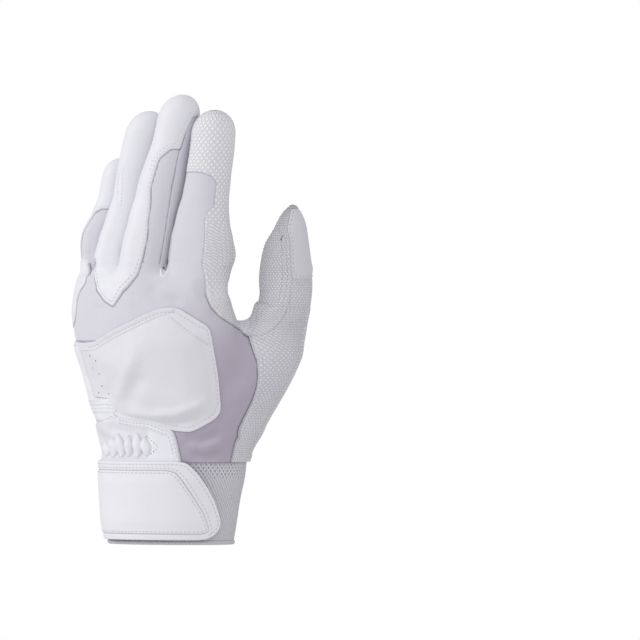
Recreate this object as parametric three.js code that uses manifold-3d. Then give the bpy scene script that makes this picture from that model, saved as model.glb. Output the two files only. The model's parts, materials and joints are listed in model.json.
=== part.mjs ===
// Batting glove, left hand, standing upright on its cuff with the back of the hand facing -Y.
// Millimetres, +Z up, thumb towards +X, palm towards +Y.
// The hand is a loft of bent oval sections and each finger is a loft of ovals. Every leather or
// knit panel is a piece cut from one of those shells along its seams, with a small seam gap.

import * as THREE from 'three';
import { mergeVertices } from 'three/addons/utils/BufferGeometryUtils.js';
import Module from 'manifold-3d';

const wasm = await Module();
wasm.setup();

// Main sizes
const gloveLength = 238;      // cuff edge to the tip of the middle finger
const palmWidth = 96;         // across the knuckles, little finger side to index side
const palmDepth = 30;         // thickness of the filled hand at the knuckles
const fabricWall = 1.3;       // leather or knit with its lining
const seamGap = 0.4;          // between two panels sewn edge to edge
const layerGap = 0.3;         // between a layer and what it lies on
const crumbShare = 0.02;      // a cut's loose crumbs, as a share of the piece they fell from
const cutOverrun = 4;         // how far every cutter reaches past what it cuts
const viewTurnDeg = 25;       // the panels were drawn looking from this far round to the thumb side

// Finger joints
const flexHalfGap = 5.2;      // stretch sleeve, from the joint's centre to each end
const flexSetBackShare = 0.3; // how far the joint lies palmwards, as a share of the half depth
const thumbFlexDir = { x: -0.6, y: 0.8 };

// Back pad
const padCover = 1.1;
const padFoam = 3.0;
const padRim = 3.2;           // width of the cover's sewn rim round the foam

// Cuff and strap
const cuffHeightShare = 0.18487; // the cuff's height as a share of gloveLength
const cuffHeight = cuffHeightShare * gloveLength;
const cuffWall = 1.4;
const cuffHemHeight = 2.2;
const cuffHemWall = 0.7;
const cuffSlit = 6;
const slitGussetWall = 0.9;
const loopWall = 0.9;
const hookWall = 0.9;
const strapWall = 1.4;
const strapPanelRise = 0.9;
const strapBottom = 2.6;
const strapHeight = cuffHeight - strapBottom - seamGap;
const strapBinding = 5.6;     // the flat sewn border round the raised strap panel
const strapBindingWall = 0.6;
const strapRoot = 12;         // length of the strap's sewn root along the band
const strapRootDeg = 168;     // where the strap folds, counted from the thumb side
const slitDeg = 200;
const fastenerFromDeg = 238;

// Elastic under the shirred leather
const shirrElasticWall = 0.8;

// Sections of the palm, from the cuff up: shares of gloveLength (z), palmWidth (x, half width)
// and palmDepth (y, half depth, arch towards the little finger side)
const palmShares = [
  // z, x, y, half width, half depth, arch
  [0.1870, 0.020, 0.000, 0.422, 0.860, 0.00],
  [0.2310, 0.008, 0.000, 0.422, 0.780, 0.06],
  [0.2730, -0.004, 0.000, 0.438, 0.720, 0.13],
  [0.3230, -0.023, -0.030, 0.465, 0.660, 0.24],
  [0.3740, -0.047, -0.080, 0.495, 0.610, 0.38],
  [0.4540, -0.087, -0.200, 0.537, 0.540, 0.58],
  [0.5120, -0.114, -0.27, 0.536, 0.480, 0.68],
  [0.5630, -0.122, -0.30, 0.514, 0.420, 0.70],
  [0.5800, -0.121, -0.30, 0.498, 0.385, 0.70],
];
const palmCapShare = 0.030;   // the rounded top between the fingers, as a share of gloveLength
const palmPower = 2.3;        // squareness of the oval sections

// Limbs: shares of gloveLength (z), palmWidth (x, half width) and palmDepth (y, half depth)
const limbShares = {
  index: {
    flexShare: 0.647, rows: [
      [0.495, 0.150, -0.260, 0.110, 0.300],
      [0.545, 0.188, -0.240, 0.148, 0.390],
      [0.600, 0.212, -0.233, 0.166, 0.420],
      [0.630, 0.217, -0.233, 0.175, 0.413],
      [0.680, 0.225, -0.233, 0.167, 0.400],
      [0.710, 0.226, -0.233, 0.152, 0.383],
      [0.765, 0.240, -0.217, 0.131, 0.367],
      [0.822, 0.257, -0.200, 0.121, 0.350],
      [0.878, 0.277, -0.183, 0.119, 0.340],
      [0.9634, 0.292, -0.167, 0.114, 0.330],
    ],
  },
  middle: {
    flexShare: 0.650, rows: [
      [0.495, -0.150, -0.270, 0.100, 0.300],
      [0.545, -0.137, -0.290, 0.125, 0.385],
      [0.630, -0.105, -0.300, 0.132, 0.393],
      [0.710, -0.070, -0.267, 0.131, 0.367],
      [0.765, -0.043, -0.233, 0.127, 0.360],
      [0.811, -0.020, -0.233, 0.122, 0.357],
      [0.857, 0.016, -0.217, 0.115, 0.350],
      [0.900, 0.050, -0.200, 0.111, 0.340],
      [0.9987, 0.100, -0.200, 0.108, 0.327],
    ],
  },
  ring: {
    flexShare: 0.650, rows: [
      [0.495, -0.330, -0.050, 0.090, 0.260],
      [0.545, -0.344, 0.000, 0.104, 0.330],
      [0.630, -0.338, 0.010, 0.108, 0.345],
      [0.672, -0.320, 0.060, 0.107, 0.342],
      [0.723, -0.288, 0.117, 0.108, 0.347],
      [0.765, -0.255, 0.133, 0.107, 0.343],
      [0.811, -0.235, 0.117, 0.106, 0.340],
      [0.857, -0.206, 0.067, 0.105, 0.333],
      [0.9650, -0.136, 0.020, 0.099, 0.320],
    ],
  },
  little: {
    flexShare: 0.648, rows: [
      [0.495, -0.460, 0.280, 0.070, 0.230],
      [0.545, -0.488, 0.370, 0.086, 0.285],
      [0.620, -0.508, 0.450, 0.090, 0.305],
      [0.645, -0.515, 0.488, 0.088, 0.300],
      [0.676, -0.518, 0.508, 0.089, 0.297],
      [0.702, -0.505, 0.515, 0.089, 0.293],
      [0.735, -0.466, 0.550, 0.086, 0.287],
      [0.782, -0.426, 0.540, 0.084, 0.277],
      [0.8590, -0.388, 0.480, 0.080, 0.260],
    ],
  },
  thumb: {
    flexShare: 0.552, rows: [
      [0.1900, 0.236, 0.067, 0.122, 0.360],
      [0.2310, 0.277, 0.150, 0.184, 0.530],
      [0.3230, 0.398, 0.267, 0.208, 0.600],
      [0.4120, 0.516, 0.367, 0.198, 0.570],
      [0.4540, 0.550, 0.400, 0.182, 0.530],
      [0.4990, 0.590, 0.433, 0.160, 0.480],
      [0.5430, 0.620, 0.467, 0.148, 0.450],
      [0.5880, 0.629, 0.483, 0.145, 0.430],
      [0.6280, 0.631, 0.483, 0.136, 0.400],
      [0.6660, 0.640, 0.467, 0.118, 0.350],
      [0.7020, 0.664, 0.433, 0.092, 0.290],
      [0.7540, 0.680, 0.400, 0.065, 0.230],
    ],
  },
  web: {
    flexShare: 0, rows: [
      [0.300, 0.380, 0.100, 0.120, 0.330],
      [0.380, 0.440, 0.100, 0.125, 0.310],
      [0.440, 0.455, 0.110, 0.120, 0.270],
      [0.480, 0.462, 0.130, 0.115, 0.220],
      [0.4990, 0.465, 0.130, 0.096, 0.160],
    ],
  },
};
const tipCapShares = {
  index: 0.050, middle: 0.052, ring: 0.048, little: 0.042, thumb: 0.050, web: 0.016,
};

// The cuff's outer surface from its lower edge up, in the same shares
const cuffShares = [
  [0.0000, -0.002, 0.0, 0.364, 0.767],
  [0.0460, 0.003, 0.0, 0.380, 0.790],
  [0.1010, 0.010, 0.0, 0.396, 0.815],
  [0.1500, 0.019, 0.0, 0.414, 0.840],
  [0.1849, 0.021, 0.0, 0.423, 0.860],
];

// The strap's free end from its lower edge up: share of strapHeight and angle round the cuff
const strapEndShares = [
  [0.00, 311], [0.035, 322], [0.11, 328], [0.20, 330], [0.34, 327], [0.49, 322], [0.67, 314],
  [0.85, 305], [0.95, 299], [1.00, 293],
];
const strapPanelShares = [
  [0.08, 317], [0.12, 319.5], [0.16, 318.5], [0.34, 313], [0.56, 303], [0.78, 293], [0.865, 289],
  [0.885, 286],
];

// Panel outlines as drawn in the photograph's direction: shares of palmWidth across and of
// gloveLength up
const padOutlineShares = [
  [-0.508, 0.4540], [-0.446, 0.4485], [-0.382, 0.4610], [-0.26, 0.4880], [-0.089, 0.5210],
  [-0.02, 0.5278], [0.05, 0.5255], [0.154, 0.4988], [0.216, 0.4832], [0.238, 0.4431],
  [0.268, 0.3697], [0.281, 0.3073], [0.275, 0.2917], [0.248, 0.2784], [0.121, 0.2494],
  [0.067, 0.2516], [-0.04, 0.2617], [-0.117, 0.2739], [-0.203, 0.2761], [-0.288, 0.2839],
  [-0.312, 0.2961], [-0.397, 0.3040], [-0.446, 0.3206], [-0.511, 0.4000],
];
const littleSideShares = [
  [-0.793, 0.4540], [-0.471, 0.4485], [-0.372, 0.4500], [-0.273, 0.3900], [-0.258, 0.3300],
  [-0.288, 0.2839], [-0.359, 0.2700], [-0.793, 0.2700],
];
const shirredShares = [
  [-0.793, 0.2682], [-0.359, 0.2682], [-0.288, 0.2821], [-0.203, 0.2743], [-0.117, 0.2721],
  [-0.04, 0.2599], [0.012, 0.2543], [0.032, 0.2316], [0.045, 0.2071], [0.067, 0.1700],
  [-0.793, 0.1700],
];
const webLeatherShares = [
  [0.176, 0.6600], [0.177, 0.6278], [0.195, 0.5900], [0.203, 0.5545], [0.228, 0.5278],
  [0.275, 0.5077], [0.342, 0.4899], [0.402, 0.4721], [0.444, 0.4643], [0.507, 0.4632],
  [0.573, 0.4810], [0.620, 0.5040], [0.645, 0.5280], [0.656, 0.5590], [0.663, 0.5857],
  [0.664, 0.6600],
];
const sideLeatherShares = [
  [0.444, 0.4643], [0.469, 0.4388], [0.486, 0.4075], [0.491, 0.3741], [0.481, 0.3463],
  [0.456, 0.3207], [0.419, 0.2917], [0.379, 0.2617], [0.357, 0.2316], [0.335, 0.1881],
  [0.330, 0.1700], [1.041, 0.1700], [1.041, 0.6600], [0.664, 0.6600], [0.663, 0.5857],
  [0.656, 0.5590], [0.645, 0.5280], [0.620, 0.5040], [0.573, 0.4810], [0.507, 0.4632],
];
const littleRootShares = [
  [-0.640, 0.6414], [-0.487, 0.6414], [-0.465, 0.6280], [-0.454, 0.6080], [-0.462, 0.5857],
  [-0.492, 0.5656], [-0.512, 0.5456], [-0.523, 0.5166], [-0.537, 0.4766], [-0.640, 0.4766],
];
const rootLeatherShares = [
  [-0.403, 0.6900], [-0.403, 0.5990], [-0.392, 0.5656], [-0.355, 0.5433], [-0.31, 0.5300],
  [-0.27, 0.5523], [-0.227, 0.5768], [-0.183, 0.5990], [-0.161, 0.6324], [-0.139, 0.6900],
];

// Finger panels: heights as shares of gloveLength, angles in degrees, 0 at the thumb side and
// 90 at the palm, written as [height, from, to]
const knit = { color: 0xc9c6d2, roughness: 0.9, metalness: 0 };
const leather = { color: 0xf2f2f4, roughness: 0.55, metalness: 0 };
const grip = { color: 0xe2e1e6, roughness: 0.7, metalness: 0 };
const elastic = { color: 0xc4c2ca, roughness: 0.95, metalness: 0 };
const foam = { color: 0xe8e4da, roughness: 0.95, metalness: 0 };
const nylon = { color: 0xdcdce0, roughness: 0.9, metalness: 0 };

const fingerPanels = {
  index: {
    rest: ['index_wrap_panel', grip],
    cuts: [
      ['index_back_knit', knit, [[0.550, -148, -66], [0.724, -148, -65], [0.735, -148, -60],
        [0.750, -148, -44], [0.800, -148, -42], [0.818, -146, -60], [0.8265, -140, -90]]],
      ['index_fourchette', knit, [[0.550, 150, 211], [0.830, 150, 211], [0.900, 160, 205]]],
    ],
  },
  middle: {
    rest: ['middle_tip_panel', leather],
    cuts: [
      ['middle_back_knit', knit, [[0.550, -74, -29], [0.680, -76, -30], [0.790, -91, -38],
        [0.850, -91, -40], [0.878, -70, -42]]],
      ['middle_radial_fourchette', knit, [[0.550, -28, 36], [0.880, -40, 36], [0.950, -20, 30]]],
      ['middle_palm_panel', grip, [[0.550, 37, 143], [0.940, 37, 143], [0.975, 60, 120]]],
      ['middle_ulnar_fourchette', knit, [[0.550, 144, 195], [0.900, 144, 195], [0.950, 150, 190]]],
    ],
  },
  ring: {
    rest: ['ring_tip_panel', leather],
    cuts: [
      ['ring_radial_fourchette', knit, [[0.550, -25, 36], [0.850, -25, 36], [0.910, -15, 30]]],
      ['ring_palm_panel', grip, [[0.550, 37, 143], [0.905, 37, 143], [0.940, 60, 120]]],
      ['ring_ulnar_fourchette', knit, [[0.550, 144, 192], [0.850, 144, 192], [0.910, 150, 186]]],
    ],
  },
  little: {
    rest: ['little_tip_panel', leather],
    cuts: [
      ['little_back_knit', knit, [[0.550, -136, -26], [0.690, -142, -26], [0.735, -128, -26],
        [0.748, -100, -34]]],
      ['little_fourchette', knit, [[0.550, -25, 36], [0.750, -25, 36], [0.820, -15, 30]]],
      ['little_palm_panel', grip, [[0.550, 37, 150], [0.805, 37, 150], [0.838, 60, 120]]],
    ],
  },
  thumb: {
    rest: ['thumb_inner_panel', grip],
    cuts: [
      ['thumb_smooth_patch', leather, [[0.592, -52, 60], [0.650, -56, 60], [0.700, -76, 60],
        [0.745, -70, 40]]],
      ['thumb_back_panel', grip, [[0.470, -53, 70], [0.5895, -53, 70]]],
      ['thumb_palm_panel', grip, [[0.470, 72, 165], [0.700, 72, 165], [0.738, 90, 150]]],
    ],
  },
};

// Numbers for the facets
const limbSides = 14;
const limbRings = 6;
const capRings = 3;
const palmSides = 28;
const palmRings = 7;
const cutterSteps = 5;
const cuffSides = 32;
const strapSides = 16;
const weldDistance = 0.004;
const facetTolerance = 0.12;   // millimetres that merging small facets may move a surface

const rad = THREE.MathUtils.degToRad;
const viewTurn = rad(viewTurnDeg);

// A smooth curve through a table's rows, whose first column is the height
function tableAt(rows, z) {
  const last = rows.length - 1;
  if (z <= rows[0][0]) return rows[0].slice(1);
  if (z >= rows[last][0]) return rows[last].slice(1);
  let k = 0;
  while (rows[k + 1][0] < z) k += 1;
  const [a, b] = [rows[k], rows[k + 1]];
  const before = rows[Math.max(k - 1, 0)];
  const after = rows[Math.min(k + 2, last)];
  const span = b[0] - a[0];
  const t = (z - a[0]) / span;
  return a.slice(1).map((v, i) => {
    const slopeA = ((b[i + 1] - before[i + 1]) / (b[0] - before[0])) * span;
    const slopeB = ((after[i + 1] - a[i + 1]) / (after[0] - a[0])) * span;
    const t2 = t * t;
    const t3 = t2 * t;
    return (2 * t3 - 3 * t2 + 1) * v + (t3 - 2 * t2 + t) * slopeA
      + (3 * t2 - 2 * t3) * b[i + 1] + (t3 - t2) * slopeB;
  });
}

// One oval section at a height share: centre, half width, half depth and arch in millimetres
function sectionAt(rows, zShare) {
  const [x, y, a, b, arch = 0] = tableAt(rows, zShare);
  return {
    z: zShare * gloveLength, x: x * palmWidth, y: y * palmDepth,
    a: a * palmWidth, b: b * palmDepth, arch: arch * palmDepth,
  };
}

// A solid from rings of points that all have the same even count. Each end is closed by strips
// from one half of its ring to the other, which also suits a bent oval.
function loftRings(rings) {
  const n = rings[0].length;
  const points = rings.flat();
  const faces = [];
  for (let r = 0; r + 1 < rings.length; r += 1) {
    for (let i = 0; i < n; i += 1) {
      const j = (i + 1) % n;
      const [p, q, s, t] = [r * n + i, r * n + j, (r + 1) * n + i, (r + 1) * n + j];
      faces.push(p, q, t, p, t, s);
    }
  }
  const start = (rings.length - 1) * n;
  for (let i = 0; i < n / 2; i += 1) {
    const [j, k, m] = [i + 1, (n - i) % n, n - i - 1];
    const quad = [[i, j, m], [i, m, k]].filter((t) => new Set(t).size === 3);
    quad.forEach(([p, q, r]) => faces.push(r, q, p, start + p, start + q, start + r));
  }
  return solidFrom(points, faces);
}

// Manifold solid from points and faces, turned the right way out
function solidFrom(points, faces) {
  const volume6 = faceVolume(points, faces);
  const turned = volume6 > 0 ? faces : faces.map((v, i, all) => {
    const corner = i % 3;
    return corner === 1 ? all[i + 1] : corner === 2 ? all[i - 1] : v;
  });
  const vertProperties = new Float32Array(points.flatMap((p) => [p.x, p.y, p.z]));
  return new wasm.Manifold(new wasm.Mesh({
    numProp: 3, vertProperties, triVerts: new Uint32Array(turned),
  }));
}

function faceVolume(points, faces) {
  let total = 0;
  const cross = new THREE.Vector3();
  for (let i = 0; i < faces.length; i += 3) {
    cross.crossVectors(points[faces[i + 1]], points[faces[i + 2]]);
    total += points[faces[i]].dot(cross);
  }
  return total;
}

function solidOfGeometry(geometry) {
  const bare = geometry.clone();
  bare.deleteAttribute('normal');
  bare.deleteAttribute('uv');
  const merged = mergeVertices(bare, seamGap / 1000);
  return new wasm.Manifold(new wasm.Mesh({
    numProp: 3,
    vertProperties: merged.attributes.position.array,
    triVerts: new Uint32Array(merged.index.array),
  }));
}

// The same solid with corners that lie closer than the weld distance joined
function welded(solid) {
  const mesh = solid.getMesh();
  const geometry = new THREE.BufferGeometry();
  geometry.setAttribute('position', new THREE.BufferAttribute(mesh.vertProperties, 3));
  geometry.setIndex(new THREE.BufferAttribute(mesh.triVerts, 1));
  const merged = mergeVertices(geometry, weldDistance);
  const corners = merged.index.array;
  const triVerts = [];
  for (let i = 0; i < corners.length; i += 3) {
    const [a, b, c] = corners.slice(i, i + 3);
    if (a !== b && b !== c && c !== a) triVerts.push(a, b, c);
  }
  return new wasm.Manifold(new wasm.Mesh({
    numProp: 3,
    vertProperties: merged.attributes.position.array,
    triVerts: new Uint32Array(triVerts),
  }));
}

// The largest body of a cut: what else falls off must be a mere crumb of it
function whole(solid, name) {
  const parts = solid.decompose().sort((p, q) => q.volume() - p.volume());
  if (!parts.length) throw new Error(`${name} is empty`);
  parts.slice(1).forEach((crumb) => {
    if (crumb.volume() > crumbShare * parts[0].volume()) {
      throw new Error(`${name} falls in two`);
    }
  });
  return parts[0];
}

const oval = (angle, power) => {
  const c = Math.cos(angle);
  const s = Math.sin(angle);
  return [
    Math.sign(c) * Math.abs(c) ** (2 / power),
    Math.sign(s) * Math.abs(s) ** (2 / power),
  ];
};

// The palm's mid line bends towards +Y on the little finger side
const archAt = (s, t) => s.y + s.arch * Math.max(0, -t) ** 1.4;

function palmRing(s, grow, shrink = 1) {
  return Array.from({ length: palmSides }, (_, i) => {
    const [u, v] = oval((i / palmSides) * 2 * Math.PI, palmPower);
    const x = s.x + (s.a + grow) * u * (0.75 + 0.25 * shrink);
    return new THREE.Vector3(x, archAt(s, u) + (s.b + grow) * v * shrink, s.z);
  });
}

// The palm's loft, grown or shrunk all round, from below the cuff's top to the finger crotches
function palmSolid(grow, extraBelow = 0) {
  const [first, last] = [palmShares[0][0], palmShares[palmShares.length - 1][0]];
  const rings = [];
  if (extraBelow) rings.push(lowered(palmRing(sectionAt(palmShares, first), grow), extraBelow));
  for (let k = 0; k < palmRings; k += 1) {
    const share = first + ((last - first) * k) / (palmRings - 1);
    rings.push(palmRing(sectionAt(palmShares, share), grow));
  }
  const s = sectionAt(palmShares, last);
  const capHeight = palmCapShare * gloveLength + grow;
  for (let k = 1; k <= capRings; k += 1) {
    const t = (k / (capRings + 0.35)) * (Math.PI / 2);
    const ring = palmRing(s, grow, Math.cos(t));
    rings.push(lowered(ring, -capHeight * Math.sin(t)));
  }
  return loftRings(rings);
}

const lowered = (ring, drop) => ring.map((p) => new THREE.Vector3(p.x, p.y, p.z - drop));

// Where a limb's surface lies at a height and an angle. Near the tip it rounds over.
function limbPoint(limb, zShare, angle, grow) {
  const { rows } = limbShares[limb];
  const capLength = tipCapShares[limb] * gloveLength;
  const top = rows[rows.length - 1][0] * gloveLength + grow;
  const z = zShare * gloveLength;
  const s = sectionAt(rows, Math.min(zShare, rows[rows.length - 1][0]));
  const rest = Math.min(Math.max((top - z) / (capLength + grow), 0), 1);
  const round = Math.sqrt(Math.max(0, 1 - (1 - rest) ** 2.2));
  const [u, v] = oval(angle, 2.1);
  return new THREE.Vector3(
    s.x + (s.a + grow) * u * round, s.y + (s.b + grow) * v * round, z,
  );
}

function limbLevels(limb, grow, from) {
  const { rows } = limbShares[limb];
  const top = rows[rows.length - 1][0];
  const capShare = tipCapShares[limb] + grow / gloveLength;
  const straightEnd = top + grow / gloveLength - capShare;
  const levels = [];
  for (let k = 0; k <= limbRings; k += 1) {
    levels.push(from + ((straightEnd - from) * k) / limbRings);
  }
  for (let k = 1; k <= capRings + 1; k += 1) {
    levels.push(straightEnd + capShare * Math.sin((k / (capRings + 1.25)) * (Math.PI / 2)));
  }
  return levels;
}

function limbSolid(limb, grow, below = 0) {
  const { rows } = limbShares[limb];
  const levels = limbLevels(limb, grow, rows[0][0] - below / gloveLength);
  return loftRings(levels.map((level) => Array.from({ length: limbSides }, (_, i) =>
    limbPoint(limb, level, (i / limbSides) * 2 * Math.PI, grow))));
}

// A closed slab between two grids of points with the same rows and columns
function slabSolid(outer, inner) {
  const rows = outer.length;
  const columns = outer[0].length;
  const points = [...outer.flat(), ...inner.flat()];
  const half = rows * columns;
  const faces = [];
  const quad = (p, q, r, t) => faces.push(p, q, r, p, r, t);
  const at = (side, i, k) => side * half + i * columns + k;
  for (let i = 0; i + 1 < rows; i += 1) {
    for (let k = 0; k + 1 < columns; k += 1) {
      quad(at(0, i, k), at(0, i, k + 1), at(0, i + 1, k + 1), at(0, i + 1, k));
      quad(at(1, i, k), at(1, i + 1, k), at(1, i + 1, k + 1), at(1, i, k + 1));
    }
    const end = columns - 1;
    quad(at(0, i, 0), at(0, i + 1, 0), at(1, i + 1, 0), at(1, i, 0));
    quad(at(0, i, end), at(1, i, end), at(1, i + 1, end), at(0, i + 1, end));
  }
  for (let k = 0; k + 1 < columns; k += 1) {
    const end = rows - 1;
    quad(at(0, 0, k), at(1, 0, k), at(1, 0, k + 1), at(0, 0, k + 1));
    quad(at(0, end, k), at(0, end, k + 1), at(1, end, k + 1), at(1, end, k));
  }
  return solidFrom(points, faces);
}

// A thick curved tile over a limb, which cuts one panel out of its shell.
// Its edges follow [height share, from, to] rows and it is grown by a margin all round.
function limbTile(limb, edgeRows, margin) {
  const first = edgeRows[0][0] - margin / gloveLength;
  const last = edgeRows[edgeRows.length - 1][0] + margin / gloveLength;
  const { rows } = limbShares[limb];
  const levels = limbLevels(limb, 0, rows[0][0]).filter((v) => v > first && v < last);
  const stops = [first, ...levels, ...edgeRows.map((r) => r[0]).filter((v) => v > first), last]
    .sort((p, q) => p - q)
    .filter((v, i, all) => i === 0 || v - all[i - 1] > layerGap / gloveLength / 4);
  const outer = [];
  const inner = [];
  for (const z of stops) {
    const [from, to] = linearAt(edgeRows, z);
    const s = sectionAt(rows, Math.min(z, rows[rows.length - 1][0]));
    const pad = THREE.MathUtils.radToDeg(margin / ((s.a + s.b) / 2));
    const angles = Array.from({ length: cutterSteps + 1 }, (_, k) =>
      rad(from - pad + ((to - from + 2 * pad) * k) / cutterSteps));
    outer.push(angles.map((angle) => tilePoint(s, angle, cutOverrun, z)));
    inner.push(angles.map((angle) => tilePoint(s, angle, -fabricWall - cutOverrun, z)));
  }
  return slabSolid(outer, inner);
}

const tilePoint = (s, angle, grow, z) => {
  const [u, v] = oval(angle, 2.1);
  const inner = Math.max(s.a + grow, s.a / 8);
  const innerDepth = Math.max(s.b + grow, s.b / 8);
  return new THREE.Vector3(s.x + inner * u, s.y + innerDepth * v, z * gloveLength);
};

function linearAt(rows, z) {
  if (z <= rows[0][0]) return rows[0].slice(1);
  const k = rows.findIndex((r) => r[0] >= z);
  if (k < 0) return rows[rows.length - 1].slice(1);
  const [a, b] = [rows[k - 1], rows[k]];
  const t = (z - a[0]) / (b[0] - a[0]);
  return a.slice(1).map((v, i) => v + (b[i + 1] - v) * t);
}

// Flex joint of a limb: its centre, the direction of the limb there and the hinge axis
function flexFrame(limb) {
  const { rows, flexShare } = limbShares[limb];
  const s = sectionAt(rows, flexShare);
  const ahead = sectionAt(rows, rows[rows.length - 1][0]);
  const along = new THREE.Vector3(ahead.x - s.x, ahead.y - s.y, ahead.z - s.z).normalize();
  const flexDir = limb === 'thumb'
    ? new THREE.Vector3(thumbFlexDir.x, thumbFlexDir.y, 0)
    : new THREE.Vector3(0, 1, 0);
  const axis = new THREE.Vector3().crossVectors(along, flexDir).normalize();
  const straight = new THREE.Vector3().crossVectors(axis, along).normalize();
  const centre = new THREE.Vector3(s.x, s.y, s.z)
    .addScaledVector(straight, s.b * flexSetBackShare);
  return { centre, along, axis };
}

// A block with one face through a point, square to a direction, reaching forward from it
function blockAhead(point, direction, reach) {
  const box = new THREE.BoxGeometry(reach, reach, reach);
  box.translate(0, 0, reach / 2);
  const turn = new THREE.Quaternion().setFromUnitVectors(new THREE.Vector3(0, 0, 1), direction);
  box.applyQuaternion(turn);
  box.translate(point.x, point.y, point.z);
  return solidOfGeometry(box);
}

// A panel outline pushed through the hand along the photograph's direction
function viewPrism(shares, margin, reach = palmWidth * 2) {
  const flat = shares.map(([u, v]) => new THREE.Vector2(u * palmWidth, v * gloveLength));
  const grown = offsetOutline(flat, margin);
  const shape = new THREE.Shape(grown);
  const prism = new THREE.ExtrudeGeometry(shape, { depth: reach, bevelEnabled: false });
  prism.translate(0, 0, -reach / 2);
  prism.rotateX(Math.PI / 2);
  prism.rotateZ(viewTurn);
  return solidOfGeometry(prism);
}

function offsetOutline(points, margin) {
  if (!margin) return points;
  const turn = Math.sign(THREE.ShapeUtils.area(points));
  const n = points.length;
  return points.map((p, i) => {
    const before = points[(i + n - 1) % n];
    const after = points[(i + 1) % n];
    const a = p.clone().sub(before).normalize();
    const b = after.clone().sub(p).normalize();
    const normal = new THREE.Vector2(a.y + b.y, -a.x - b.x).normalize().multiplyScalar(turn);
    const lean = Math.max(Math.abs(normal.x * a.y - normal.y * a.x), 0.5);
    return p.clone().addScaledVector(normal, margin / lean);
  });
}

// Everything in front of the hand's middle surface, towards the back of the hand (-Y)
function backHalf(shift) {
  const columns = 16;
  const stepsUp = 8;
  const left = -palmWidth;
  const right = palmWidth;
  const bottom = cuffHeight - cutOverrun * 2;
  const top = limbShares.index.flexShare * gloveLength + cutOverrun * 3;
  const rings = [];
  for (let k = 0; k <= columns; k += 1) {
    const x = left + ((right - left) * k) / columns;
    const ring = [];
    for (let r = 0; r <= stepsUp; r += 1) {
      const z = bottom + ((top - bottom) * r) / stepsUp;
      ring.push(new THREE.Vector3(x, midDepth(x, z) + shift, z));
    }
    for (let r = stepsUp; r >= 0; r -= 1) {
      const z = bottom + ((top - bottom) * r) / stepsUp;
      ring.push(new THREE.Vector3(x, -palmWidth, z));
    }
    rings.push(ring);
  }
  return loftRings(rings);
}

// Depth of the middle surface: the palm's arch, blended into the thumb's centre on its side
function midDepth(x, z) {
  const s = sectionAt(palmShares, z / gloveLength);
  const t = Math.min(Math.max((x - s.x) / s.a, -1.25), 1);
  const palm = archAt(s, t);
  const thumb = sectionAt(limbShares.thumb.rows, z / gloveLength);
  const start = s.x + s.a * 0.35;
  const mix = Math.min(Math.max((x - start) / (thumb.x - start), 0), 1);
  return palm + (thumb.y - palm) * mix * mix * (3 - 2 * mix);
}

const group = new THREE.Group();
group.name = 'batting_glove';

function addPiece(name, solid, finish) {
  const made = whole(welded(whole(solid, name).simplify(facetTolerance)), name);
  const mesh = made.getMesh();
  const geometry = new THREE.BufferGeometry();
  geometry.setAttribute('position', new THREE.BufferAttribute(mesh.vertProperties, 3));
  geometry.setIndex(new THREE.BufferAttribute(mesh.triVerts, 1));
  geometry.computeVertexNormals();
  const piece = new THREE.Mesh(geometry, new THREE.MeshStandardMaterial(finish));
  piece.name = name;
  group.add(piece);
  return made;
}

// Fingers and thumb: a tube each, cut into the moving part and the stretch sleeve
const limbs = Object.keys(limbShares).filter((limb) => limb !== 'web');
const reach = gloveLength;
for (const limb of limbs) {
  const { centre, along } = flexFrame(limb);
  const tube = limbSolid(limb, 0).subtract(limbSolid(limb, -fabricWall, cutOverrun));
  const upper = blockAhead(centre.clone().addScaledVector(along, flexHalfGap), along, reach);
  const sleeveTop = blockAhead(
    centre.clone().addScaledVector(along, flexHalfGap - layerGap), along, reach,
  );
  const sleeveBottom = blockAhead(
    centre.clone().addScaledVector(along, layerGap - flexHalfGap), along, reach,
  );
  addPiece(`${limb}_flex_sleeve`, tube.intersect(sleeveBottom).subtract(sleeveTop), knit);
  let left = tube.intersect(upper);
  for (const [name, finish, edges] of fingerPanels[limb].cuts) {
    addPiece(name, left.intersect(limbTile(limb, edges, 0)), finish);
    left = left.subtract(limbTile(limb, edges, seamGap));
  }
  addPiece(fingerPanels[limb].rest[0], left, fingerPanels[limb].rest[1]);
}

// The hand's shell: palm and limb stubs joined, hollow, open at the wrist and at each limb
function handOuter(grow) {
  let outer = palmSolid(grow).add(limbSolid('web', grow));
  for (const limb of limbs) {
    const { centre, along } = flexFrame(limb);
    const end = centre.clone().addScaledVector(along, -flexHalfGap);
    outer = outer.add(limbSolid(limb, grow).subtract(blockAhead(end, along, reach)));
  }
  return outer.subtract(belowCuffTop());
}

function belowCuffTop() {
  const down = new THREE.Vector3(0, 0, -1);
  return blockAhead(new THREE.Vector3(0, 0, cuffHeight + layerGap), down, reach);
}

let cavity = palmSolid(-fabricWall, cutOverrun).add(limbSolid('web', -fabricWall, -fabricWall));
for (const limb of limbs) cavity = cavity.add(limbSolid(limb, -fabricWall, -fabricWall));
const outer = handOuter(0);
const shell = outer.subtract(cavity);
const front = backHalf(0);
const frontGrown = backHalf(seamGap);

let back = shell.intersect(front);
addPiece('palm_panel', shell.subtract(frontGrown), grip);
const backPanels = [
  ['little_side_panel', leather, littleSideShares],
  ['web_leather_panel', grip, webLeatherShares],
  ['side_leather_panel', grip, sideLeatherShares],
  ['finger_root_leather', leather, rootLeatherShares],
  ['little_root_leather', leather, littleRootShares],
];
const shirredPrism = viewPrism(shirredShares, 0);
const shirred = back.intersect(shirredPrism);
back = back.subtract(viewPrism(shirredShares, seamGap));
for (const [name, finish, outline] of backPanels) {
  addPiece(name, back.intersect(viewPrism(outline, 0)), finish);
  back = back.subtract(viewPrism(outline, seamGap));
}
addPiece('back_knit_panel', back, knit);
addPiece('shirred_wrist_panel', shirred, leather);

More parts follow.
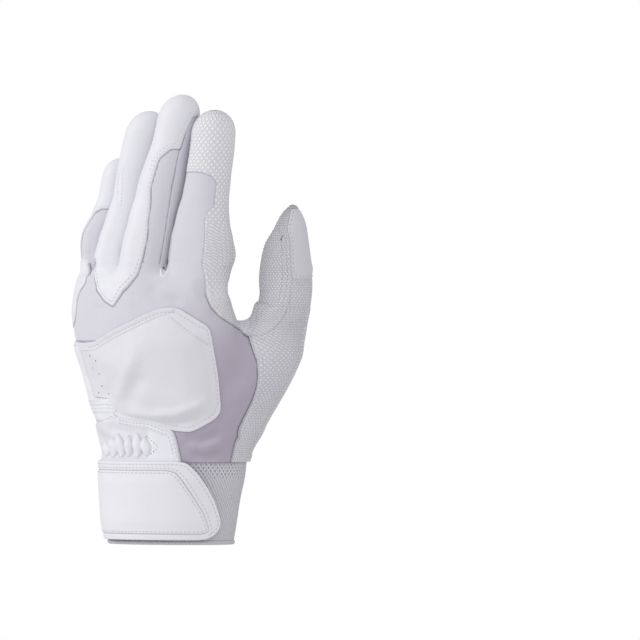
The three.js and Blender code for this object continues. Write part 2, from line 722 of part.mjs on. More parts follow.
// Elastic sewn inside the shirred leather
const elasticOuter = palmSolid(-fabricWall - layerGap, cutOverrun);
const elasticInner = palmSolid(-fabricWall - layerGap - shirrElasticWall, cutOverrun * 2);
const elasticShares = [
  [-0.793, 0.2500], [-0.297, 0.2500], [-0.05, 0.2450], [0.01, 0.2300], [0.02, 0.2120],
  [-0.793, 0.2120],
];
addPiece('wrist_elastic', elasticOuter.subtract(elasticInner).intersect(front)
  .intersect(viewPrism(elasticShares, 0)), elastic);

// Padded back panel: a leather cover with a sewn rim, over a foam sheet
const padFloor = handOuter(layerGap);
const foamTop = handOuter(layerGap + padFoam);
const foamPrism = viewPrism(padOutlineShares, -padRim);
addPiece('back_pad_foam', foamTop.subtract(padFloor).intersect(front).intersect(foamPrism), foam);
const coverTop = handOuter(layerGap * 2 + padFoam + padCover);
const rimTop = handOuter(layerGap + padCover);
const raised = coverTop.intersect(viewPrism(padOutlineShares, -padRim + padCover + layerGap));
const pocket = handOuter(layerGap * 2 + padFoam)
  .intersect(viewPrism(padOutlineShares, -padRim + layerGap));
addPiece('back_pad_cover', rimTop.intersect(viewPrism(padOutlineShares, 0)).add(raised)
  .subtract(padFloor).subtract(pocket).intersect(front), leather);

// Cuff and strap: tiles on oval sections
function cuffPoint(z, angle, grow) {
  const s = sectionAt(cuffShares, z / gloveLength);
  const [u, v] = oval(angle, 2);
  return new THREE.Vector3(s.x + (s.a + grow) * u, s.y + (s.b + grow) * v, z);
}

// A curved slab over the cuff: its heights, angle limits at each height, and its two faces
function cuffSlab(levels, limits, innerGrow, outerGrow, steps = cuffSides) {
  const face = (grow) => levels.map((z) => {
    const [from, to] = limits(z);
    return Array.from({ length: steps + 1 }, (_, k) => {
      const angle = from + ((to - from) * k) / steps;
      return cuffPoint(z, rad(angle), grow(angle));
    });
  });
  return slabSolid(face(outerGrow), face(innerGrow));
}

const cuffLevels = (from, to, steps = 3) =>
  Array.from({ length: steps + 1 }, (_, k) => from + ((to - from) * k) / steps);
const flat = (grow) => () => grow;
const meanRadius = ((cuffShares[0][3] * palmWidth) + (cuffShares[0][4] * palmDepth)) / 2;
const arcDeg = (length) => THREE.MathUtils.radToDeg(length / meanRadius);

const slitFrom = slitDeg - arcDeg(cuffSlit / 2);
const slitTo = slitDeg + arcDeg(cuffSlit / 2);
const band = () => [slitTo, slitFrom + 360];
const bandBottom = cuffHemHeight + layerGap;
addPiece('cuff_band', cuffSlab(cuffLevels(bandBottom, cuffHeight), band,
  flat(-cuffWall), flat(0)), elastic);
addPiece('cuff_hem', cuffSlab(cuffLevels(0, cuffHemHeight, 2), band,
  flat(-cuffWall - cuffHemWall), flat(cuffHemWall)), elastic);
const gussetReach = arcDeg(cuffSlit * 1.5);
addPiece('slit_gusset', cuffSlab(cuffLevels(bandBottom, cuffHeight),
  () => [slitDeg - gussetReach, slitDeg + gussetReach],
  flat(-cuffWall - layerGap - slitGussetWall), flat(-cuffWall - layerGap), 6), knit);

// The strap lies close to the band at its sewn root and rides over the fasteners at its tip
const fastenerStack = loopWall + hookWall + 2 * layerGap;
const strapLift = (angle) => {
  const t = Math.min(Math.max((angle - slitDeg) / (fastenerFromDeg - slitDeg), 0), 1);
  return layerGap + fastenerStack * t * t * (3 - 2 * t);
};
const strapTop = strapBottom + strapHeight;
const tableZ = (shares) => shares.map(([t, angle]) => [strapBottom + t * strapHeight, angle]);
const strapLevels = tableZ(strapEndShares).map((row) => row[0]);
const strapEnd = (z) => linearAt(tableZ(strapEndShares), z)[0];
const panelEnd = (z) => linearAt(tableZ(strapPanelShares), z)[0];
const panelLevels = tableZ(strapPanelShares).map((row) => row[0]);
const strapTurn = strapRootDeg + arcDeg(seamGap / 2);
addPiece('strap_base', cuffSlab(strapLevels, (z) => [strapTurn, strapEnd(z)],
  strapLift, (angle) => strapLift(angle) + strapWall, strapSides), leather);
const onStrap = (rise) => (angle) => strapLift(angle) + strapWall + layerGap + rise;
const panelFrom = strapTurn + arcDeg(strapBinding);
addPiece('strap_raised_panel', cuffSlab(panelLevels, (z) => [panelFrom, panelEnd(z)],
  onStrap(0), onStrap(strapPanelRise), strapSides), leather);
const inset = arcDeg(seamGap);
const borderHole = cuffSlab(
  [panelLevels[0] - seamGap, ...panelLevels.slice(1, -1), panelLevels.at(-1) + seamGap],
  (z) => [panelFrom - inset, panelEnd(z) + inset],
  onStrap(-cutOverrun / 8), onStrap(cutOverrun), strapSides,
);
addPiece('strap_border', cuffSlab(strapLevels, (z) => [strapTurn, strapEnd(z)],
  onStrap(0), onStrap(strapBindingWall), strapSides).subtract(borderHole), leather);

// Hook patch under the strap's tip and loop patch on the band
const fastenerLimits = (edge) => (z) => [fastenerFromDeg + edge, strapEnd(z) - arcDeg(strapBinding) - edge];
const fastenerLevels = strapLevels.filter((z) => z > strapBottom + strapBinding / 2
  && z < strapTop - strapBinding / 2);
addPiece('strap_hook_patch', cuffSlab(fastenerLevels, fastenerLimits(arcDeg(strapBinding) / 2),
  (angle) => strapLift(angle) - layerGap - hookWall, (angle) => strapLift(angle) - layerGap, 16), nylon);
addPiece('cuff_loop_patch', cuffSlab(fastenerLevels, fastenerLimits(arcDeg(strapBinding) / 2),
  flat(layerGap), flat(layerGap + loopWall), 16), nylon);

// The strap's sewn root on the band
const rootFrom = strapRootDeg - arcDeg(strapRoot);
addPiece('strap_root_tab', cuffSlab(cuffLevels(strapBottom + cuffHemHeight / 2, strapTop, 4),
  () => [rootFrom, strapRootDeg - arcDeg(seamGap / 2)],
  flat(layerGap), flat(layerGap + strapWall), 5), leather);

// The origin is the middle of the part's box, at its foot
const box = new THREE.Box3().setFromObject(group);
const middle = box.getCenter(new THREE.Vector3());
const origin = new THREE.Vector3(-middle.x, -middle.y, -box.min.z);
group.children.forEach((piece) => piece.geometry.translate(origin.x, origin.y, origin.z));

// Where each joint turns, for whoever writes the joints down
const hingeFoot = cuffPoint(strapBottom, rad(strapRootDeg), layerGap + strapWall);
const hingeTop = cuffPoint(strapTop, rad(strapRootDeg), layerGap + strapWall);
group.userData.joints = {
  strap: {
    at: hingeFoot.clone().add(origin).toArray(),
    axis: hingeFoot.clone().sub(hingeTop).normalize().toArray(),
  },
};
for (const limb of limbs) {
  const { centre, axis } = flexFrame(limb);
  group.userData.joints[limb] = { at: centre.add(origin).toArray(), axis: axis.toArray() };
}
group.userData.origin = origin.toArray();

export default group;
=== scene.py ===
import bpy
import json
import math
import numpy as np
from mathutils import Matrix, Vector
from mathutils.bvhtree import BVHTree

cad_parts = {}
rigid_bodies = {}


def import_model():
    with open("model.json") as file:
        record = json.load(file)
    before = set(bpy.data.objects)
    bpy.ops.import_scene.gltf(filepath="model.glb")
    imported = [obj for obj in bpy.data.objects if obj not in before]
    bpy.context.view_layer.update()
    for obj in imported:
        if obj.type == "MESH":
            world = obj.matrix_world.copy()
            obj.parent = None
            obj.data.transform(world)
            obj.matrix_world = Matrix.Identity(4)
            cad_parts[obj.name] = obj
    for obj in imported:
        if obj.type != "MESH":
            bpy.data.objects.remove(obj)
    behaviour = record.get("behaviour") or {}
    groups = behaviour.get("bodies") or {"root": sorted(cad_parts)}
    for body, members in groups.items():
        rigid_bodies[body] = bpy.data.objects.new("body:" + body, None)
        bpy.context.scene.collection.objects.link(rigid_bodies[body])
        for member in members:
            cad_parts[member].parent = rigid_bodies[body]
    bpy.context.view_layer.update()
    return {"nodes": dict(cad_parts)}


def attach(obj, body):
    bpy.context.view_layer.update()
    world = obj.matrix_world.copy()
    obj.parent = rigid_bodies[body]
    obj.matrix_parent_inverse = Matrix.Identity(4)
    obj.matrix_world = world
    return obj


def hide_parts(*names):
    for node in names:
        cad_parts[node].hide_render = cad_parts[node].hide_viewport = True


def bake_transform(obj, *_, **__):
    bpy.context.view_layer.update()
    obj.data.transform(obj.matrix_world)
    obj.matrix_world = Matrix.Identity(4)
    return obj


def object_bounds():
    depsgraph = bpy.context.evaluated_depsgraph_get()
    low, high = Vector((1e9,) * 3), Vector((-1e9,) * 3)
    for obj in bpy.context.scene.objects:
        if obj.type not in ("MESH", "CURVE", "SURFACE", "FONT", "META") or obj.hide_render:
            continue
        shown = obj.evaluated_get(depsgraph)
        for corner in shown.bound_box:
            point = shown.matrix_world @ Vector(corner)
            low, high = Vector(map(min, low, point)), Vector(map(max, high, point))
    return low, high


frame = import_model()

# %% [markdown]
# # A batting glove, sewn from one smooth skin
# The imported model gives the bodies, the joints and the place of every panel. Each panel could be
# modelled alone, but then edges would gape where a finger meets the hand. This lesson grows one
# smooth skin instead, cuts it along the same seams, and gives each panel its thickness and a
# turned edge. Stitches, puckers, the moulded pad, the strap and the finishes follow.
# Work is in millimetres in the maker's own axes, and every mesh is turned into metres at the end.

MM = 0.001
GLOVE, PALM_W, PALM_D = 238.0, 96.0, 30.0    # the glove's length, the palm's width and depth
ORIGIN = np.array([-5.734, 1.593, 0.0])      # from the maker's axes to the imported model's
VIEW = math.radians(25)                      # the outlines are drawn from this far round
CELL = 1.15                # size of the skin's facets
print("cell", CELL)

# %% [markdown]
# ## Sections
# Each finger is a row of ovals: height, centre x and y, half width and half depth, as shares of
# the glove's length, the palm's width and the palm's depth. The palm's rows also bend. Ovals are
# easy to read off a photograph, because its outline gives their centres and half widths.

# %% Tables
PALM = [
    [.187, .020, .000, .422, .860, .00], [.231, .008, .000, .422, .780, .06],
    [.273, -.004, 0, .438, .720, .13], [.323, -.023, -.030, .465, .660, .24],
    [.374, -.047, -.080, .495, .610, .38], [.454, -.087, -.200, .537, .540, .58],
    [.512, -.114, -.27, .536, .480, .68], [.563, -.122, -.30, .514, .420, .70],
    [.580, -.121, -.30, .498, .385, .70]]
LIMBS = {
    "index": [
        [.495, .150, -.260, .110, .300], [.545, .188, -.240, .148, .390],
        [.600, .212, -.233, .166, .420], [.630, .217, -.233, .175, .413],
        [.680, .225, -.233, .167, .400], [.710, .226, -.233, .152, .383],
        [.765, .240, -.217, .131, .367], [.822, .257, -.200, .121, .350],
        [.878, .277, -.183, .119, .340], [.9620, .292, -.167, .112, .330]],
    "middle": [
        [.495, -.150, -.270, .100, .300], [.545, -.137, -.290, .125, .385],
        [.630, -.105, -.300, .132, .393], [.710, -.070, -.267, .131, .367],
        [.765, -.040, -.233, .130, .360], [.811, -.013, -.233, .129, .357],
        [.857, .018, -.217, .117, .350], [.900, .050, -.200, .111, .340],
        [.9972, .101, -.200, .108, .327]],
    "ring": [
        [.495, -.330, -.050, .090, .260], [.545, -.344, 0, .104, .330],
        [.630, -.338, .010, .108, .345], [.672, -.320, .060, .107, .342],
        [.723, -.288, .117, .108, .347], [.765, -.255, .133, .107, .343],
        [.811, -.235, .117, .106, .340], [.857, -.206, .067, .105, .333],
        [.9625, -.136, .020, .099, .320]],
    "little": [
        [.495, -.460, .280, .070, .230], [.545, -.488, .370, .086, .285],
        [.620, -.508, .450, .090, .305], [.645, -.515, .488, .088, .300],
        [.676, -.518, .508, .089, .297], [.702, -.505, .515, .089, .293],
        [.735, -.466, .550, .086, .287], [.782, -.426, .540, .084, .277],
        [.859, -.388, .480, .080, .260]],
    "thumb": [
        [.190, .236, .067, .122, .360], [.231, .277, .150, .184, .530],
        [.323, .398, .267, .208, .600], [.412, .516, .367, .198, .570],
        [.454, .550, .400, .182, .530], [.499, .590, .433, .160, .480],
        [.543, .620, .467, .148, .450], [.588, .629, .483, .145, .430],
        [.628, .631, .483, .136, .400], [.666, .640, .467, .118, .350],
        [.702, .664, .433, .087, .280], [.754, .680, .400, .052, .200]],
    "web": [
        [.300, .380, .100, .120, .330], [.380, .440, .100, .125, .310],
        [.440, .455, .110, .120, .270], [.480, .462, .130, .115, .220],
        [.499, .465, .130, .096, .160]],
}
TIPS = {"index": .050, "middle": .052, "ring": .048, "little": .042, "thumb": .050, "web": .016}
FINGERS = ["index", "middle", "ring", "little", "thumb"]
PALM_CAP = .030
CUFF = [[0, -.002, 0, .364, .767], [.046, .003, 0, .380, .790], [.101, .010, 0, .396, .815],
        [.150, .019, 0, .414, .840], [.1849, .021, 0, .423, .860]]


def table_at(rows, z):
    """The rows' columns at heights z, on a smooth curve through them."""
    rows = np.asarray(rows, float)
    last = len(rows) - 1
    z = np.clip(z, rows[0, 0], rows[last, 0])
    k = np.clip(np.searchsorted(rows[:, 0], z) - 1, 0, last - 1)
    a, b = rows[k], rows[k + 1]
    before, after = rows[np.maximum(k - 1, 0)], rows[np.minimum(k + 2, last)]
    span = b[:, :1] - a[:, :1]
    t = (z[:, None] - a[:, :1]) / span
    slope_a = (b - before)[:, 1:] / (b - before)[:, :1] * span
    slope_b = (after - a)[:, 1:] / (after - a)[:, :1] * span
    t2, t3 = t * t, t * t * t
    return ((2 * t3 - 3 * t2 + 1) * a[:, 1:] + (t3 - 2 * t2 + t) * slope_a
            + (3 * t2 - 2 * t3) * b[:, 1:] + (t3 - t2) * slope_b)


print("sections", sum(len(r) for r in LIMBS.values()) + len(PALM))

# %% [markdown]
# ## A field that is zero on the glove's surface
# Each oval tube gives a distance that is negative inside. Two fields join with a soft minimum,
# which rounds the place where a finger leaves the palm, as drawn leather does. Joined meshes
# would need a bevel there, whose width can't follow a curved crotch.

# %% Fields
FINGER_SHAPE, PALM_SHAPE = 2.1, 2.3           # 2 is an ellipse, and more is squarer
CLOSED_FOOT = 6                               # how gently a limb's lower end closes, in mm


def smooth_min(a, b, k):
    h = np.clip(k - np.abs(a - b), 0, None) / k
    return np.minimum(a, b) - h * h * k / 4


def tube(u, v, w, a, b, cap, power):
    """Distance to a capped oval tube from its shares u, v across and w past the cap's start."""
    u, v = np.abs(u), np.abs(v)
    q = np.maximum(u ** power + v ** power + w ** power, 1e-9)
    r = q ** (1 / power)
    scale = q ** (1 / power - 1)
    slope = np.sqrt((scale * u ** (power - 1) / a) ** 2 + (scale * v ** (power - 1) / b) ** 2
                    + (scale * w ** (power - 1) / cap) ** 2)
    return (r - 1) / np.maximum(slope, 1e-3)


def limb_field(name, p):
    rows = LIMBS[name]
    s = table_at(rows, p[:, 2] / GLOVE)
    cap = TIPS[name] * GLOVE
    w = np.clip((p[:, 2] - rows[-1][0] * GLOVE) / cap + 1, 0, None)
    w = np.maximum(w, np.clip((rows[0][0] * GLOVE - p[:, 2]) / CLOSED_FOOT + .3, 0, None))
    a, b = s[:, 2] * PALM_W, s[:, 3] * PALM_D
    u, v = (p[:, 0] - s[:, 0] * PALM_W) / a, (p[:, 1] - s[:, 1] * PALM_D) / b
    return tube(u, v, w, a, b, cap, FINGER_SHAPE)


def palm_field(p):
    s = table_at(PALM, p[:, 2] / GLOVE)
    a, b, cap = s[:, 2] * PALM_W, s[:, 3] * PALM_D, PALM_CAP * GLOVE
    u = (p[:, 0] - s[:, 0] * PALM_W) / a
    bend = s[:, 4] * PALM_D * np.maximum(0, -np.clip(u, -1.3, 1)) ** 1.4
    w = np.clip((p[:, 2] - PALM[-1][0] * GLOVE) / cap, 0, None)
    return tube(u, (p[:, 1] - s[:, 1] * PALM_D - bend) / b, w, a, b, cap, PALM_SHAPE)


NEXT_TO = {"middle": ["ring"], "ring": ["middle", "little"], "little": ["ring"]}
SOFT = 3.4                                    # how softly two fingers that touch run together
WEB_SOFT, THUMB_SOFT, ROOT_SOFT = 7, 8, 5     # the same for the web, the thumb and the knuckles
CLEFT = .8                                    # the cleft between index and middle stays sharp


def palm_and_web(p, soft=WEB_SOFT):
    return smooth_min(palm_field(p), limb_field("web", p), soft)


def hand_field(p):
    palm = palm_and_web(p)
    three = smooth_min(smooth_min(limb_field("middle", p), limb_field("ring", p), SOFT),
                       limb_field("little", p), SOFT)
    total = smooth_min(palm, limb_field("thumb", p), THUMB_SOFT)
    total = smooth_min(total, smooth_min(limb_field("index", p), palm, ROOT_SOFT), CLEFT)
    return smooth_min(total, smooth_min(three, palm, ROOT_SOFT), CLEFT)


def finger_field(name, p):
    """One finger's skin. Fingers that touch share a soft valley, and each ends at its middle."""
    palm = palm_and_web(p)
    if name == "thumb":
        return smooth_min(palm, limb_field(name, p), THUMB_SOFT)
    own = total = limb_field(name, p)
    others = [limb_field(other, p) for other in NEXT_TO.get(name, ())]
    for field in others:
        total = smooth_min(total, field, SOFT)
    total = smooth_min(total, palm, ROOT_SOFT)
    for field in others:
        wall = np.clip((own - field) / 2 + .1, -3, 3)
        total = -smooth_min(-total, -wall, .7)
    return total


def gradient(field, p, step=.2):
    g = np.stack([field(p + d) - field(p - d) for d in np.eye(3) * step], 1) / (2 * step)
    return g, np.linalg.norm(g, axis=1, keepdims=True)


print("fingers that touch", NEXT_TO)

# %% [markdown]
# ## From the field to a mesh
# A surface net puts one point in every grid cell that the surface crosses. The points are then
# evened out and drawn back on to the surface. Metaballs would do this too, but they give no
# distance that later steps could use.

# %% Surface net


def surface_net(field, low, high):
    axes = [np.arange(l, h + CELL, CELL) for l, h in zip(low, high)]
    grid = np.stack(np.meshgrid(*axes, indexing="ij"), -1)
    shape = grid.shape[:3]
    f = field(grid.reshape(-1, 3)).reshape(shape)
    corners = np.array([[i, j, k] for i in (0, 1) for j in (0, 1) for k in (0, 1)])
    n = [s - 1 for s in shape]
    value = np.stack([f[i:i + n[0], j:j + n[1], k:k + n[2]] for i, j, k in corners], -1)
    count = (value < 0).sum(-1)
    mixed = (count > 0) & (count < 8)
    index = np.full(n, -1)
    index[mixed] = np.arange(mixed.sum())
    v = value[mixed]
    total, hits = np.zeros((len(v), 3)), np.zeros(len(v))
    for a in range(8):
        for b in range(a + 1, 8):
            if np.abs(corners[a] - corners[b]).sum() != 1:
                continue
            cross = (v[:, a] < 0) != (v[:, b] < 0)
            t = np.where(cross, v[:, a] / np.where(cross, v[:, a] - v[:, b], 1), 0)
            place = corners[a] + t[:, None] * (corners[b] - corners[a])
            total += np.where(cross[:, None], place, 0)
            hits += cross
    points = (np.argwhere(mixed) + total / hits[:, None]) * CELL + np.array([a[0] for a in axes])
    quads = []
    for axis in range(3):
        one, two = (axis + 1) % 3, (axis + 2) % 3
        a = np.take(f, range(0, n[axis]), axis) < 0
        b = np.take(f, range(1, n[axis] + 1), axis) < 0
        for inward in (True, False):
            at = np.argwhere((a & ~b) if inward else (~a & b))
            at = at[(at[:, one] > 0) & (at[:, one] < n[one])
                    & (at[:, two] > 0) & (at[:, two] < n[two])]
            ring = []
            for d1, d2 in ((-1, -1), (0, -1), (0, 0), (-1, 0)):
                c = at.copy()
                c[:, one] += d1
                c[:, two] += d2
                ring.append(index[c[:, 0], c[:, 1], c[:, 2]])
            ring = np.stack(ring, 1)
            quads.append(ring if inward else ring[:, ::-1])
    quads = np.concatenate(quads)
    tris = np.concatenate([quads[:, [0, 1, 2]], quads[:, [0, 2, 3]]])
    return points, tris


def edges_of(tris):
    """The three edges of every facet, in the facet's direction."""
    return np.concatenate([tris[:, [0, 1]], tris[:, [1, 2]], tris[:, [2, 0]]])


def neighbours(tris, n):
    e = np.unique(np.sort(edges_of(tris), 1), axis=0)
    both = np.concatenate([e, e[:, ::-1]])
    return both, np.maximum(np.bincount(both[:, 0], minlength=n), 1)


def averaged(values, both, count):
    out = np.zeros_like(values)
    np.add.at(out, both[:, 0], values[both[:, 1]])
    return out / (count[:, None] if values.ndim > 1 else count)


def skin(field, low, high, rounds=3):
    """A mesh on the field's zero surface: points, normals, triangles and named values."""
    p, tris = surface_net(field, low, high)
    both, count = neighbours(tris, len(p))
    for _ in range(rounds):
        p = p + .6 * (averaged(p, both, count) - p)
        g, size = gradient(field, p)
        p = p - np.clip(field(p), -1.5, 1.5)[:, None] * g / np.maximum(size, .3) ** 2
    g, size = gradient(field, p)
    return {"p": p, "n": g / np.maximum(size, 1e-9), "t": tris, "v": {}}


HAND_LOW, HAND_HIGH = (-66, -34, 41), (86, 40, 172)      # the room that the hand's skin needs
FINGER_FOOT, THUMB_FOOT = 141, 118            # where a finger's own skin starts
ROOM = 4                                      # spare room round a finger
hand_skin = skin(hand_field, HAND_LOW, HAND_HIGH)
print("hand skin", len(hand_skin["p"]))
finger_skins = {}
for name in FINGERS:
    rows = np.array(LIMBS[name])
    rows = rows[rows[:, 0] > (.50 if name == "thumb" else .60)]
    x, y = rows[:, 1] * PALM_W, rows[:, 2] * PALM_D
    a, b = rows[:, 3].max() * PALM_W + ROOM, rows[:, 4].max() * PALM_D + ROOM
    low = (x.min() - a, y.min() - b, THUMB_FOOT if name == "thumb" else FINGER_FOOT)
    high = (x.max() + a, y.max() + b, rows[-1, 0] * GLOVE + 3)
    finger_skins[name] = skin(lambda q, name=name: finger_field(name, q), low, high)
    print(name, len(finger_skins[name]["p"]))

# %% [markdown]
# ## Cutting along a seam
# A seam is where a named value passes a level. Facets that cross it are cut there, so every edge
# is clean. The same cut, with both sides kept, adds rows of points for a turned edge. A boolean
# would cut too, but it loses the named values that the finishes read.

# %% Cutting tools


def unit(v, least=1e-9):
    return v / np.maximum(np.linalg.norm(v, axis=1, keepdims=True), least)


def compact(m):
    used = np.unique(m["t"])
    new = np.full(len(m["p"]), -1)
    new[used] = np.arange(len(used))
    return {"p": m["p"][used], "n": m["n"][used], "t": new[m["t"]],
            "v": {k: a[used] for k, a in m["v"].items()}}


def cut(m, key, level=0.0, both_sides=False):
    """Keeps the part of a mesh where a named value is above a level, or marks the line only."""
    x = m["v"][key] - level
    x = np.where(np.abs(x) < 1e-5, 1e-5, x)
    tris = m["t"]
    above = (x > 0)[tris]
    number = above.sum(1)
    keep = [tris[number == 3]] + ([tris[number == 0]] if both_sides else [])
    mixed = (number == 1) | (number == 2)
    part, up = tris[mixed], above[mixed]
    if len(part) == 0:
        rest = np.concatenate(keep)
        return compact({**m, "t": rest}) if len(rest) else None
    lone = np.argmax(np.where((up.sum(1) == 1)[:, None], up, ~up), 1)
    r = np.arange(len(part))
    a, b, c = part[r, lone], part[r, (lone + 1) % 3], part[r, (lone + 2) % 3]
    pairs = np.sort(np.concatenate([np.stack([a, b], 1), np.stack([a, c], 1)]), 1)
    edges, which = np.unique(pairs, axis=0, return_inverse=True)
    which = which.reshape(-1)
    t = x[edges[:, 0]] / (x[edges[:, 0]] - x[edges[:, 1]])
    mix = lambda v: v[edges[:, 0]] + (v[edges[:, 1]] - v[edges[:, 0]]) * (
        t[:, None] if v.ndim > 1 else t)
    base = len(m["p"])
    ab, ac = base + which[:len(part)], base + which[len(part):]
    single = up.sum(1) == 1
    small = np.stack([a, ab, ac], 1)
    large = np.concatenate([np.stack([ab, b, c], 1), np.stack([ab, c, ac], 1)])
    twice = np.concatenate([single, single])
    keep.append(small if both_sides else small[single])
    keep.append(large if both_sides else large[~twice])
    values = {k: np.concatenate([v, mix(v)]) for k, v in m["v"].items()}
    values[key][base:] = level + 1e-5
    return compact({"p": np.concatenate([m["p"], mix(m["p"])]),
                    "n": np.concatenate([m["n"], unit(mix(m["n"]))]),
                    "t": np.concatenate(keep), "v": values})


def finer(m):
    """Every facet split into four."""
    t = m["t"]
    edges, which = np.unique(np.sort(edges_of(t), 1), axis=0, return_inverse=True)
    which = which.reshape(3, -1) + len(m["p"])
    half = lambda v: np.concatenate([v, (v[edges[:, 0]] + v[edges[:, 1]]) / 2])
    a, b, c = which
    tris = np.concatenate([np.stack([t[:, 0], a, c], 1), np.stack([t[:, 1], b, a], 1),
                           np.stack([t[:, 2], c, b], 1), np.stack([a, b, c], 1)])
    return {"p": half(m["p"]), "n": unit(half(m["n"])), "t": tris,
            "v": {k: half(v) for k, v in m["v"].items()}}


print("cutting tools ready")

# %% [markdown]
# ## Soft steps
# Everything on the glove fades in and out: a fold, a swelling, a rolled edge. `ramp` is one soft
# step, `band` a step up and down again, and `faded` lets a fold run out at both its ends.

# %% Smoothing and fading


def smoothed(m, values, rounds):
    both, count = neighbours(m["t"], len(m["p"]))
    for _ in range(rounds):
        values = .5 * values + .5 * averaged(values, both, count)
    return values


def ramp(x, low, high):
    t = np.clip((x - low) / (high - low), 0, 1)
    return t * t * (3 - 2 * t)


def band(x, start, full, ending, end):
    """1 between full and ending, and 0 before start and after end."""
    return ramp(x, start, full) * ramp(end - x, 0, end - ending)


def faded(share, part):
    """1 in a line's middle, fading over this part of its length at each end."""
    return ramp(share, 0, part) * ramp(1 - share, 0, part)


def vertex_normals(p, tris):
    f = np.cross(p[tris[:, 1]] - p[tris[:, 0]], p[tris[:, 2]] - p[tris[:, 0]])
    n = np.zeros_like(p)
    for k in range(3):
        np.add.at(n, tris[:, k], f)
    return unit(n, 1e-12)


print("half way up a soft step", float(ramp(.5, 0, 1)))

# %% [markdown]
# ## A panel as a Blender object
# A real panel is a sheet with a thickness. The skin is raised for the outside and lowered for the
# inside, and a wall closes the rim, so the shell has no open edge. The shading normals are set
# here, because cut edges would otherwise look faceted.

# %% From arrays to an object


def metres(p):
    return ((p + ORIGIN) * MM).astype(np.float32).ravel()


def put_in_scene(name, data):
    obj = bpy.data.objects.new(name, data)
    bpy.context.scene.collection.objects.link(obj)
    return obj


def build(name, m, height, depth, uv=None, values=None, plain_edge=None):
    """A sewn piece as a Blender object: the skin raised by height, and its inside depth below.
    plain_edge marks points whose shading carries on into the next piece."""
    p, n, tris = m["p"], m["n"], m["t"]
    outer = p + n * height[:, None]
    inner = p + n * (height - depth)[:, None]
    count = len(p)
    e = edges_of(tris)
    code = e[:, 0].astype(np.int64) * count + e[:, 1]
    back = e[:, 1].astype(np.int64) * count + e[:, 0]
    rim = e[~np.isin(code, back)]
    sides = np.concatenate([np.stack([rim[:, 1], rim[:, 0], rim[:, 0] + count], 1),
                            np.stack([rim[:, 1], rim[:, 0] + count, rim[:, 1] + count], 1)])
    faces = np.concatenate([tris, tris[:, ::-1] + count, sides])
    everything = np.concatenate([outer, inner])
    mesh = bpy.data.meshes.new(name)
    mesh.vertices.add(len(everything))
    mesh.vertices.foreach_set("co", metres(everything))
    mesh.loops.add(len(faces) * 3)
    mesh.loops.foreach_set("vertex_index", faces.astype(np.int32).ravel())
    mesh.polygons.add(len(faces))
    mesh.polygons.foreach_set("loop_start", np.arange(0, len(faces) * 3, 3, dtype=np.int32))
    mesh.update(calc_edges=True)
    top = vertex_normals(outer, tris)
    if plain_edge is not None:
        w = plain_edge[:, None]
        top = top * (1 - w) + n * w
    low = -vertex_normals(inner, tris)
    side = unit(np.cross(everything[sides[:, 1]] - everything[sides[:, 0]],
                         everything[sides[:, 2]] - everything[sides[:, 0]]), 1e-12)
    loops = unit(np.concatenate([top[tris].reshape(-1, 3), low[tris[:, ::-1]].reshape(-1, 3),
                                 np.repeat(side, 3, axis=0)]), 1e-12)
    mesh.polygons.foreach_set("use_smooth", np.ones(len(faces), bool))
    mesh.normals_split_custom_set(loops.tolist())
    if uv is not None:
        layer = mesh.uv_layers.new(name="cloth")
        both = np.concatenate([uv, uv])
        layer.data.foreach_set("uv", (both[faces.ravel()] * MM).astype(np.float32).ravel())
    for key, v in (values or {}).items():
        layer = mesh.attributes.new(key, "FLOAT", "POINT")
        layer.data.foreach_set("value", np.concatenate([v, v]).astype(np.float32))
    return put_in_scene(name, mesh)


print("shell tools ready")

# %% [markdown]
# ## Where each panel lies
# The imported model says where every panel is. The distance to a panel, less the distance to its
# neighbour, is zero along the seam between them, and grows evenly into the panel. So the seams
# of the picture are those of the model, and no outline is drawn twice.

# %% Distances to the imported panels


def cad_tree(node):
    mesh = frame["nodes"][node].data
    points = np.array([v.co for v in mesh.vertices], float) / MM - ORIGIN
    faces = [tuple(f.vertices) for f in mesh.polygons]
    return BVHTree.FromPolygons([tuple(p) for p in points], faces)


def distances(nodes, points):
    out = {}
    for node in nodes:
        tree = cad_tree(node)
        out[node] = np.array([tree.find_nearest(p)[3] for p in points.tolist()])
    return out


KNIT, LEATHER, GRIP = "knit", "leather", "grip"
HAND_PANELS = {
    "palm_panel": GRIP, "little_side_panel": LEATHER, "side_leather_panel": GRIP,
    "web_leather_panel": GRIP, "finger_root_leather": LEATHER, "little_root_leather": LEATHER,
    "back_knit_panel": KNIT, "shirred_wrist_panel": LEATHER}
FINGER_PANELS = {
    "index": {"index_wrap_panel": GRIP, "index_back_knit": KNIT, "index_fourchette": KNIT},
    "middle": {"middle_tip_panel": LEATHER, "middle_back_knit": KNIT, "middle_palm_panel": GRIP,
               "middle_radial_fourchette": KNIT, "middle_ulnar_fourchette": KNIT},
    "ring": {"ring_tip_panel": LEATHER, "ring_palm_panel": GRIP, "ring_radial_fourchette": KNIT,
             "ring_ulnar_fourchette": KNIT},
    "little": {"little_tip_panel": LEATHER, "little_back_knit": KNIT, "little_fourchette": KNIT,
               "little_palm_panel": GRIP},
    "thumb": {"thumb_inner_panel": GRIP, "thumb_smooth_patch": LEATHER, "thumb_back_panel": GRIP,
              "thumb_palm_panel": GRIP},
}
FLEX = {"index": .647, "middle": .650, "ring": .650, "little": .648, "thumb": .552}
HALF_FLEX = 5.2                               # half the length that flexes at a knuckle, in mm
OVERLAP = 1.1                                 # how far hand and finger run past each other


